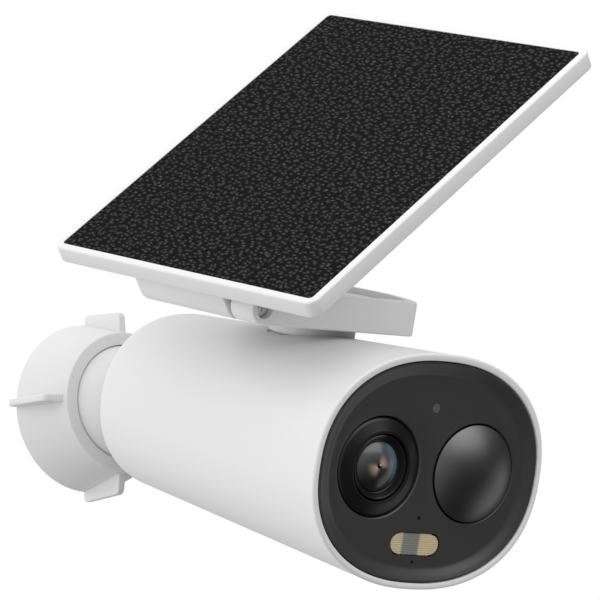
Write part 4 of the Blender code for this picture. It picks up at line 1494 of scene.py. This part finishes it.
@dataclass
class FrontFace(Assembly):
    """Dished black cover with the lens, motion dome and light window.

    Attributes:
        mouth: the housing's opening that takes the cover.
        rim_y: where the cover's rim lies.
        band: width of the sloping band at the sides and at the top and bottom.
        thick: thickness of the cover.
        eye_x: distance from the middle to the lens and to the dome.
        hole_r: radius of their holes.
        light_z: height of the light sensor's window.
        light_r: its radius.
        lamp_z: height of the light window.
        lamp_half: half its length and half its height.
        ripple: depth of its scallops.
        ripple_pitch: pitch of its scallops.
        dome_edge: radius of the dome's edge.
        dome_r: radius of the dome's sphere.
        mics: height and radius of each microphone hole.
    """

    mouth: Station = Station(0.0, 0.0339, 0.02742, 2.27, -0.00029)
    rim_y: float = -0.0014
    band: Point = (0.0039, 0.0034)
    thick: float = 0.002
    eye_x: float = 0.01488
    hole_r: float = 0.0125
    light_z: float = 0.0154
    light_r: float = 0.00125
    lamp_z: float = -0.0183
    lamp_half: Point = (0.00785, 0.0029)
    ripple: float = 0.00025
    ripple_pitch: float = 0.00078
    dome_edge: float = 0.0121
    dome_r: float = 0.0187
    mics: tuple = ((-0.0118, 0.0005), (-0.02274, 0.0004))

    def sloped(self, edge: Station, share: float, y: float) -> Station:
        """Finds a ring of the sloping band.

        Args:
            edge: the cover's outer ring.
            share: how far in the ring lies, as a share of the band.
            y: its distance behind the face.

        Returns:
            The ring.
        """
        half_x, half_z = edge.half_x - self.band[0] * share, edge.half_z - self.band[1] * share
        return Station(y, half_x, half_z, edge.power, edge.centre_z)

    def cover(self) -> None:
        """Builds the dished cover, its holes and small chamfers round the lens's and the dome's holes."""
        edge = self.mouth.moved(GAP, self.rim_y)
        rings = [
            edge.moved(0.002, self.thick), edge.moved(0.0, self.thick), edge.moved(0.0, self.rim_y + 0.0002),
            edge.moved(0.0001, self.rim_y), edge.moved(0.0004, self.rim_y),
            edge.moved(0.0006, self.rim_y + 0.0001),
        ]
        for step in range(1, 6):
            share = step / 6.0
            rings.append(self.sloped(edge, 0.15 + 0.8 * share, self.rim_y * (1.0 - share)))
        rings += [self.sloped(edge, 0.965, -0.00002), self.sloped(edge, 1.0, 0.0)]
        body = oval_skin(rings, 144)
        tools = [rod((side * self.eye_x, -0.003, 0), (side * self.eye_x, 0.004, 0), self.hole_r, 128)
                 for side in (-1, 1)]
        tools.append(rod((0, -0.003, self.light_z), (0, 0.004, self.light_z), self.light_r, 48))
        tools += [rod((0, -0.003, z), (0, 0.004, z), r, 32) for z, r in self.mics]
        tools.append(turn_mesh(prism(stadium(*self.lamp_half, (0, self.lamp_z)), -0.004, 0.004), STAND))
        body = combine(body, tools)
        rims = []
        for rim_edge in body.edges:
            middle = (rim_edge.verts[0].co + rim_edge.verts[1].co) / 2
            reach = min(math.hypot(middle.x - side * self.eye_x, middle.z) for side in (-1, 1))
            if abs(middle.y) < TINY and abs(reach - self.hole_r) < 0.00005:
                rims.append(rim_edge)
        bmesh.ops.bevel(body, geom=rims, offset=0.0005, segments=3, profile=0.5, affect="EDGES", material=-1)
        self.add("face_cover", body, Look.FACE, ("front_cover",), 24.0)

    def lens(self) -> None:
        """Builds the ribbed funnel, the barrel and the front glass."""
        eye = (-self.eye_x, 0.0, 0.0)
        profile = [(0.0121, -0.0030), (0.0098, -0.0042), (0.0086, -0.0042), (0.0083, 0.0004),
                   (0.00845, 0.00078), (0.0087, 0.0009), (0.0090, 0.00086)]
        ribs = 9
        for step in range(ribs):
            share = (step + 0.5) / ribs
            radius, height = 0.0090 + 0.0026 * share, 0.00084 - 0.0010 * share
            profile += [(radius, height), (radius + 0.0001, height - 0.00004)]
        profile += [(0.0118, -0.0003), (0.0121, -0.0006)]
        self.add("lens_funnel", turned(profile, 128, eye), Look.BEZEL, ("lens_bezel",), 40.0)
        profile = [(0.0, -0.0032), (0.0062, -0.0032), (0.0062, -0.0012)]
        profile += [(0.0063, -0.0008), (0.0066, -0.0006), (0.0070, -0.0006), (0.0071, -0.0002),
                    (0.0074, -0.0001), (0.0075, 0.0003), (0.0077, 0.0004), (0.0079, 0.0003),
                    (0.0080, 0.0), (0.0080, -0.0060), (0.0069, -0.0064), (0.0069, -0.0190), (0.0, -0.0190)]
        self.add("lens_tube", turned(profile, 96, eye), Look.BARREL, ("lens_barrel",), 40.0)
        glass = bowl(0.0105, 0.0, 35.5, 16, -0.0094) + [(0.0061, -0.0030), (0.0, -0.0030)]
        self.add("lens_front_glass", turned(glass, 96, eye), Look.LENS, ("lens_glass",), 50.0, uv="front")

    def dome(self) -> None:
        """Builds the motion sensor's black dome."""
        edge, radius = self.dome_edge, self.dome_r
        half = math.degrees(math.asin(edge / radius))
        centre = -radius * math.cos(math.radians(half))
        outside = bowl(radius, 0.0, half, 24, centre)
        inside = bowl(radius - 0.0012, half * 0.9, 0.0, 16, centre)
        profile = outside + [(edge, -0.0030), (inside[0][0], -0.0030)] + inside
        self.add("motion_dome", turned(profile, 128, (self.eye_x, 0, 0)), Look.DOME, ("pir_dome",), 50.0)

    def scallops(self) -> list[Point]:
        """Lists the light window's outline, with scalloped long sides.

        Returns:
            The outline.
        """
        half_x, half_y = self.lamp_half[0] - 0.00015, self.lamp_half[1] - 0.0002
        reach, ripple, count = half_x - half_y, self.ripple, 96
        right = arc((reach, self.lamp_z), half_y - ripple, -90, 90, 16)
        left = arc((-reach, self.lamp_z), half_y - ripple, 90, 270, 16)
        sides: list[list[Point]] = [[], []]
        for step in range(1, count):
            x = reach - 2.0 * reach * step / count
            y = half_y - ripple + ripple * abs(math.sin(math.pi * x / self.ripple_pitch)) * 1.3
            sides[0].append((x, self.lamp_z + y))
            sides[1].append((-x, self.lamp_z - y))
        return right + sides[0] + left + sides[1]

    def lights(self) -> None:
        """Builds the scalloped light window and the light sensor's window."""
        bm = prism(self.scallops(), 0.0002, 0.0018)
        turn_mesh(bm, STAND @ Matrix.Diagonal((1, 1, -1, 1)))
        bmesh.ops.recalc_face_normals(bm, faces=bm.faces)
        self.add("light_window", bm, Look.WINDOW, ("led_window",), 40.0, uv="front")
        radius = self.light_r - 0.00003
        guide = [(0.0, -0.00002), (radius - 0.0001, -0.00002), (radius, -0.0001), (radius, -0.0026),
                 (0.0008, -0.0028), (0.0008, -0.0105), (0.0, -0.0105)]
        self.add("light_sensor_window", turned(guide, 48, (0, 0, self.light_z)), Look.GUIDE, ("light_guide",))

    def build(self) -> None:
        """Builds the cover and everything set in it."""
        self.cover()
        self.lens()
        self.dome()
        self.lights()


@dataclass
class PanelArm(Assembly):
    """Arm on the neck, with the hinge ears.

    Attributes:
        low: height of its underside above the crown.
        height: its own height.
        half_d: half its depth.
        end_r: radius of its bowed right end.
        end_x: centre of that radius.
        hinge_x: the hinge's place along the arm.
        knuckle_r: radius of the front ear.
        ear_inner: distance from the middle to the front ear's inner side.
        rear_ear: near side, far side and radius of the rear ear.
        screw_ring: radius of the circle of screw holes over the neck.
        hinge_bore: radius of the bolt's hole.
        head_bore: radius of the recess for the bolt's head.
    """

    low: float = 0.003
    height: float = 0.0088
    half_d: float = 0.020
    end_r: float = 0.027
    end_x: float = -0.0025
    hinge_x: float = -0.0386
    knuckle_r: float = 0.0044
    ear_inner: float = 0.012
    rear_ear: Place = (0.010, 0.0145, 0.003)
    screw_ring: float = 0.0062
    hinge_bore: float = 0.0018
    head_bore: float = 0.0029

    def outline(self, inset: float = 0.0, left: float | None = None) -> list[Point]:
        """Lists the arm's outline from above, with rounded far corners.

        Args:
            inset: how far the outline moves in.
            left: where it starts, or None for just beside the hinge.

        Returns:
            The outline.
        """
        half, radius = self.half_d - inset, self.end_r - inset
        corner = 0.0035
        inner = radius - corner
        bow = math.degrees(math.asin((half - corner) / inner))
        left = self.hinge_x + self.knuckle_r + 0.0004 + inset if left is None else left
        corner_x = self.end_x + inner * math.cos(math.radians(bow))
        points = [(left, half), (left, -half)]
        points += arc((corner_x, -half + corner), corner, -90, -bow, 6)
        points += arc((self.end_x, 0.0), radius, -bow, bow, 28)[1:-1]
        points += arc((corner_x, half - corner), corner, bow, 90, 6)
        return points

    def ear(self, low: float, high: float, radius: float) -> bmesh.types.BMesh:
        """Builds one hinge ear across the arm's left edge.

        Args:
            low: where the ear starts.
            high: where it ends.
            radius: its radius.

        Returns:
            The ear.
        """
        z = self.low + self.height / 2
        reach = self.hinge_x + self.knuckle_r + 0.0015
        outline = [(reach, z + radius)] + arc((self.hinge_x, z), radius, 90, 270, 24) + [(reach, z - radius)]
        return turn_mesh(prism(outline, -high, -low), STAND)

    def build(self) -> None:
        """Builds the arm, its base cover and the neck under it."""
        top = self.low + self.height
        z = self.low + self.height / 2
        body = soften(prism(self.outline(), self.low, top), 0.0005, 60.0, 3)
        rear_low, rear_high, rear_r = self.rear_ear
        ears = [self.ear(-self.half_d + TINY, -self.ear_inner, self.knuckle_r - 0.00003),
                self.ear(rear_low, rear_high, rear_r)]
        body = combine(body, [soften(ear, 0.0004, 60.0, 3) for ear in ears], "UNION")
        left = self.hinge_x + self.knuckle_r + 0.0030
        tools = [
            prism(self.outline(0.002, left), self.low - 0.001, top - 0.0028),
            prism(self.outline(0.003, -0.024), top - 0.0016, top + 0.001),
            rod((self.hinge_x, -0.03, z), (self.hinge_x, 0.03, z), self.hinge_bore),
            rod((self.hinge_x, -0.03, z), (self.hinge_x, -self.half_d + 0.0035, z), self.head_bore, 64),
        ]
        tools += [rod((x, y, top - 0.006), (x, y, top), 0.0013, 24)
                  for x, y in ring(3, self.screw_ring, 30.0)]
        self.add("arm_shell", combine(body, tools), Look.SHELL, ("panel_arm",), 30.0)
        cover = prism(self.outline(0.0023, left + GAP), self.low + 0.0001, self.low + 0.0013)
        cover = combine(cover, [rod((0, 0, 0), (0, 0, 0.01), 0.0113, 64)])
        self.add("arm_floor", cover, Look.SHELL, ("arm_base_cover",))
        profile = [
            (0.0090, 0.0087), (0.0090, 0.0062), (0.0140, 0.0062), (0.0140, 0.0046), (0.0110, 0.0046),
            (0.0110, -0.0007), (0.0099, -0.0007), (0.0099, -0.0020), (0.0110, -0.0020), (0.0110, -0.0043),
            (0.0090, -0.0043), (0.0090, -0.0062), (0.0100, -0.0062), (0.0100, -0.0075), (0.0035, -0.0075),
            (0.0035, 0.0087),
        ]
        self.add("neck_sleeve", turned(profile, 96, upright=True), Look.SHELL, ("neck_turret",))


@dataclass
class HingeBolt(Assembly):
    """Hinge bolt with its cross recess.

    Attributes:
        half_d: half the arm's depth.
        cross: half length and half width of a bar of the recess.
    """

    half_d: float = 0.020
    cross: Point = (0.0014, 0.00022)

    def build(self) -> None:
        """Builds the bolt with a domed head and a cross recess."""
        head = self.half_d - 0.0012
        profile = [(0.0, head), (0.0018, head - 0.0001), (0.0023, head - 0.0003), (0.0026, head - 0.0007)]
        profile += [(0.0026, head - 0.002), (0.0015, head - 0.002), (0.0015, -0.0172), (0.0, -0.0172)]
        bolt = turned(profile, 64)
        tools = [block((-x, -head - 0.001, -z), (x, -head + 0.0005, z))
                 for x, z in (self.cross, self.cross[::-1])]
        self.add("hinge_cross_bolt", combine(bolt, tools), Look.BOLT, ("hinge_bolt",))


@dataclass
class SolarPanel(Assembly):
    """Panel frame, hinge bracket and embossed solar film.

    Attributes:
        centre_x: distance from the hinge to the panel's centre, up its slope.
        length: the panel's length up the slope.
        width: its width.
        border: width of the frame's border.
        back_z: height of its back above the hinge.
        film_z: height of the film.
        rim_z: height of the frame's front.
        knuckle_r: radius of the hinge block.
        block_front: how far the block reaches to the front.
        block_rear: how far it reaches to the rear.
        rear_ear: near side, far side and radius of the arm's rear ear.
        bolt_bore: radius of the bolt's hole.
    """

    centre_x: float = 0.04905
    length: float = 0.1114
    width: float = 0.093
    border: float = 0.002
    back_z: float = 0.00624
    film_z: float = 0.0107
    rim_z: float = 0.01084
    knuckle_r: float = 0.0044
    block_front: float = 0.011
    block_rear: float = 0.0208
    rear_ear: Place = (0.010, 0.0145, 0.003)
    bolt_bore: float = 0.0018

    def outline(self, inset: float, radius: float) -> list[Point]:
        """Lists the panel's outline.

        Args:
            inset: how far the outline moves in.
            radius: the corners' radius.

        Returns:
            The outline.
        """
        half_x, half_y = self.length / 2 - inset, self.width / 2 - inset
        return rounded_rectangle((self.centre_x, 0.0), half_x, half_y, radius)

    def rim(self) -> None:
        """Builds the frame with a rounded outer edge."""
        body = prism(self.outline(0.0, 0.0032), self.back_z, self.rim_z)
        soften(body, 0.0005, 60.0, 3)
        hole = prism(self.outline(self.border, 0.0012), 0.0, 0.02)
        self.add("panel_rim", combine(body, [hole]), Look.SHELL, ("panel_frame",), 30.0)

    def sheets(self) -> None:
        """Builds the back cover with its shallow field, and the embossed front film."""
        inside = self.border + GAP
        back = prism(self.outline(inside, 0.001), self.back_z + 0.0001, 0.0079)
        low_field = rounded_rectangle((self.centre_x + 0.010, 0.0), 0.036, 0.038, 0.003)
        tools = [prism(low_field, 0.0, self.back_z + 0.0005)]
        holes = [rod((x, y, 0.0), (x, y, 0.0076), 0.0012, 24) for x, y in self.screw_places()]
        self.add("panel_back", combine(back, tools + holes), Look.SHELL, ("panel_back_cover",))
        film = prism(self.outline(self.border + 0.00008, 0.0011), 0.0092, self.film_z)
        self.add("solar_film", film, Look.WEAVE, ("solar_laminate",), uv="top")

    def screw_places(self) -> list[Point]:
        """Lists where the bracket's screws pass.

        Returns:
            The places.
        """
        return [(x, y) for x in (0.011, 0.022) for y in (-0.007, 0.0135)]

    def bracket(self) -> None:
        """Builds the hinge block and its plate."""
        back = self.back_z - GAP
        plate_low = back - 0.0013
        outline = [(-self.knuckle_r, back)] + arc((0, 0), self.knuckle_r, 180, 360, 40)
        outline += [(self.knuckle_r, plate_low), (0.026, plate_low), (0.026, back)]
        body = turn_mesh(prism(outline, -self.block_rear, self.block_front), STAND)
        bmesh.ops.recalc_face_normals(body, faces=body.faces)
        soften(body, 0.0004, 60.0, 3)
        low, high, radius = self.rear_ear
        tools = [block((-radius - GAP, low - 0.0004, -0.01), (0.01, high + 0.0004, radius + GAP)),
                 rod((0, -0.03, 0), (0, 0.03, 0), self.bolt_bore),
                 rod((0, 0.0149, 0), (0, 0.03, 0), 0.0034)]
        tools += [rod((x, y, 0.0), (x, y, 0.01), 0.0012, 24) for x, y in self.screw_places()]
        self.add("hinge_block", combine(body, tools), Look.SHELL, ("panel_bracket",), 30.0)

    def build(self) -> None:
        """Builds the whole panel."""
        self.rim()
        self.sheets()
        self.bracket()


@dataclass(frozen=True)
class CarriedNodes:
    """Inner CAD nodes that keep their shape and get a finish.

    Attributes:
        looks: each finish with the nodes that wear it.
    """

    looks: tuple = (
        (Look.SLIP, ("slip_seat",)),
        (Look.SEAL, ("front_gasket",)),
        (Look.HATCH, ("neck_seal",)),
        (Look.BEZEL, ("lens_holder", "port_tray", "speaker", "memory_card")),
        (Look.BUTTON, ("power_button",)),
        (Look.BOARD, ("sensor_board", "led_board", "front_board", "main_board")),
        (Look.SHELL, ("inner_chassis", "battery_cradle")),
        (Look.CELL, ("battery_cell_1", "battery_cell_2")),
        (Look.AERIAL, ("aerial",)),
        (Look.CELLS, ("cell_sheet",)),
    )

    def dress(self) -> None:
        """Gives each inner node its finish; whatever isn't listed is steel."""
        listed = {name: look for look, names in self.looks for name in names}
        for name, node in frame["nodes"].items():
            look = listed.get(name, Look.STEEL)
            node.data.materials.clear()
            node.data.materials.append(look.material())


# ---------------------------------------------------------------- studio
@dataclass(frozen=True)
class Studio:
    """Floor, lights and camera.

    Attributes:
        azimuth: camera's direction round the object, in degrees.
        elevation: camera's height above the horizon, in degrees.
        roll: camera's roll, in degrees.
        lens: focal length in millimetres, on a 36 mm sensor.
        distance: distance to the aim point.
        aim: aim point right of and above the ball centre, across the view.
        floor_z: height of the floor.
        floor_half: half the floor's side.
        bright_side: direction of the surround's brightest part.
        ambient: the surround's mean strength.
        contrast: how far its strength rises towards the bright side and falls away from it.
        mirrored: the same two values as glossy surfaces see them.
        boxes: name, direction, distance, side length and watts of each area light.
    """

    azimuth: float = -36.58
    elevation: float = -8.14
    roll: float = -0.24
    lens: float = 224.1
    distance: float = 1.0162
    aim: Point = (0.0496, 0.0282)
    floor_z: float = -0.9
    floor_half: float = 2.5
    bright_side: Place = (-0.8, 0.6, 0.65)
    ambient: float = 0.78
    contrast: float = 0.62
    mirrored: Point = (0.52, 0.85)
    boxes: tuple = (
        ("front_box", (0.15, -0.76, 0.6), 0.8, 0.8, 3.0),
        ("side_strip", (0.85, -0.1, -0.42), 0.8, 0.7, 0.75),
    )

    def axes(self) -> tuple[Vector, Vector, Vector]:
        """Returns the camera's right, up and backward directions."""
        turn, lift, roll = (math.radians(a) for a in (self.azimuth, self.elevation, self.roll))
        back = Vector((math.sin(turn) * math.cos(lift), -math.cos(turn) * math.cos(lift), math.sin(lift)))
        right = Vector((math.cos(turn), math.sin(turn), 0.0))
        up = back.cross(right)
        cosine, sine = math.cos(roll), math.sin(roll)
        return right * cosine + up * sine, up * cosine - right * sine, back

    def camera(self) -> None:
        """Places the camera."""
        right, up, back = self.axes()
        target = Vector(joint("ball_tilt")["pos_m"]) + right * self.aim[0] + up * self.aim[1]
        data = bpy.data.cameras.new("view")
        data.lens = self.lens
        data.sensor_width = 36.0
        data.clip_start, data.clip_end = 0.01, 50.0
        obj = bpy.data.objects.new("view", data)
        bpy.context.scene.collection.objects.link(obj)
        obj.matrix_world = basis(target + back * self.distance, right, up, back)
        bpy.context.scene.camera = obj

    def floor(self) -> None:
        """Lays the pale floor."""
        bm = bmesh.new()
        bmesh.ops.create_grid(bm, x_segments=8, y_segments=8, size=self.floor_half)
        bmesh.ops.translate(bm, verts=bm.verts, vec=(0, 0, self.floor_z))
        obj = mesh_of(bm, "studio_floor")
        made = bpy.data.materials.new("floor_pale")
        made.use_nodes = True
        shader = made.node_tree.nodes["Principled BSDF"]
        shader.inputs["Base Color"].default_value = (0.92, 0.92, 0.92, 1.0)
        shader.inputs["Roughness"].default_value = 0.9
        obj.data.materials.append(made)
        obj.visible_glossy = False
        obj.visible_diffuse = False

    def glow(self, tree: bpy.types.NodeTree, towards: object, middle: float, span: float) -> object:
        """Grades the surround's strength from its dark to its bright side.

        Args:
            tree: the world's tree.
            towards: how far a direction agrees with the bright side, from -1 to 1.
            middle: strength halfway between the two sides.
            span: how far the strength rises and falls.

        Returns:
            The strength's socket.
        """
        rise = math_node(tree, "MULTIPLY", towards, span)
        return math_node(tree, "MAXIMUM", math_node(tree, "ADD", rise, middle), 0.02)

    def world(self) -> None:
        """Sets a surround that looks white and lights the object mostly from its upper left."""
        world = bpy.data.worlds.new("studio")
        world.use_nodes = True
        bpy.context.scene.world = world
        tree = world.node_tree
        direction = add_node(tree, "ShaderNodeTexCoord").outputs["Generated"]
        bright = Vector(self.bright_side).normalized()
        towards = vector_node(tree, "DOT_PRODUCT", direction, bright, "Value")
        rays = add_node(tree, "ShaderNodeLightPath")
        glow = self.glow(tree, towards, self.ambient, self.contrast)
        mirrored = self.glow(tree, towards, *self.mirrored)
        lit = mix_node(tree, rays.outputs["Is Glossy Ray"], glow, mirrored, "FLOAT")
        seen = mix_node(tree, rays.outputs["Is Camera Ray"], lit, 1.0, "FLOAT")
        sky = tree.nodes["Background"]
        sky.inputs["Color"].default_value = (1.0, 1.0, 1.0, 1.0)
        tree.links.new(seen, sky.inputs["Strength"])
        bpy.context.scene.view_settings.view_transform = "Standard"

    def light(self, name: str, direction: Place, distance: float, size: float, power: float) -> None:
        """Hangs an area light that faces the object.

        Args:
            name: the light's name.
            direction: where it hangs, seen from the object's centre.
            distance: how far away it hangs.
            size: its side length.
            power: its power in watts.
        """
        low, high = CAD_BOX
        away = Vector(direction).normalized()
        data = bpy.data.lights.new(name, "AREA")
        data.size = size
        data.energy = power
        obj = bpy.data.objects.new(name, data)
        bpy.context.scene.collection.objects.link(obj)
        obj.location = (low + high) / 2 + away * distance
        obj.rotation_mode = "QUATERNION"
        obj.rotation_quaternion = (-away).to_track_quat("-Z", "Y")

    def build(self) -> None:
        """Builds the studio."""
        self.camera()
        self.floor()
        self.world()
        for box in self.boxes:
            self.light(*box)


def main() -> None:
    """Builds the object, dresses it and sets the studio."""
    logging.basicConfig(level=logging.INFO, format="%(message)s")
    frames = Frames()
    CarriedNodes().dress()
    shell = BodyShell(frames.camera(), "camera")
    parts = [
        WallMount(frames.wall(), "wall_mount"),
        Collar(frames.wall(), "collar"),
        BallStud(frames.ball(), "stud"),
        shell,
        Hatch(frames.camera(), "hatch", shell=shell),
        FrontFace(frames.camera(), "camera"),
        PanelArm(frames.arm(), "arm"),
        HingeBolt(frames.bolt(), "arm"),
        SolarPanel(frames.hinge(), "panel"),
    ]
    for part in parts:
        part.build()
        LOG.info("%s: %s", type(part).__name__, ", ".join(part.made))
    Studio().build()


if __name__ == "__main__":
    main()
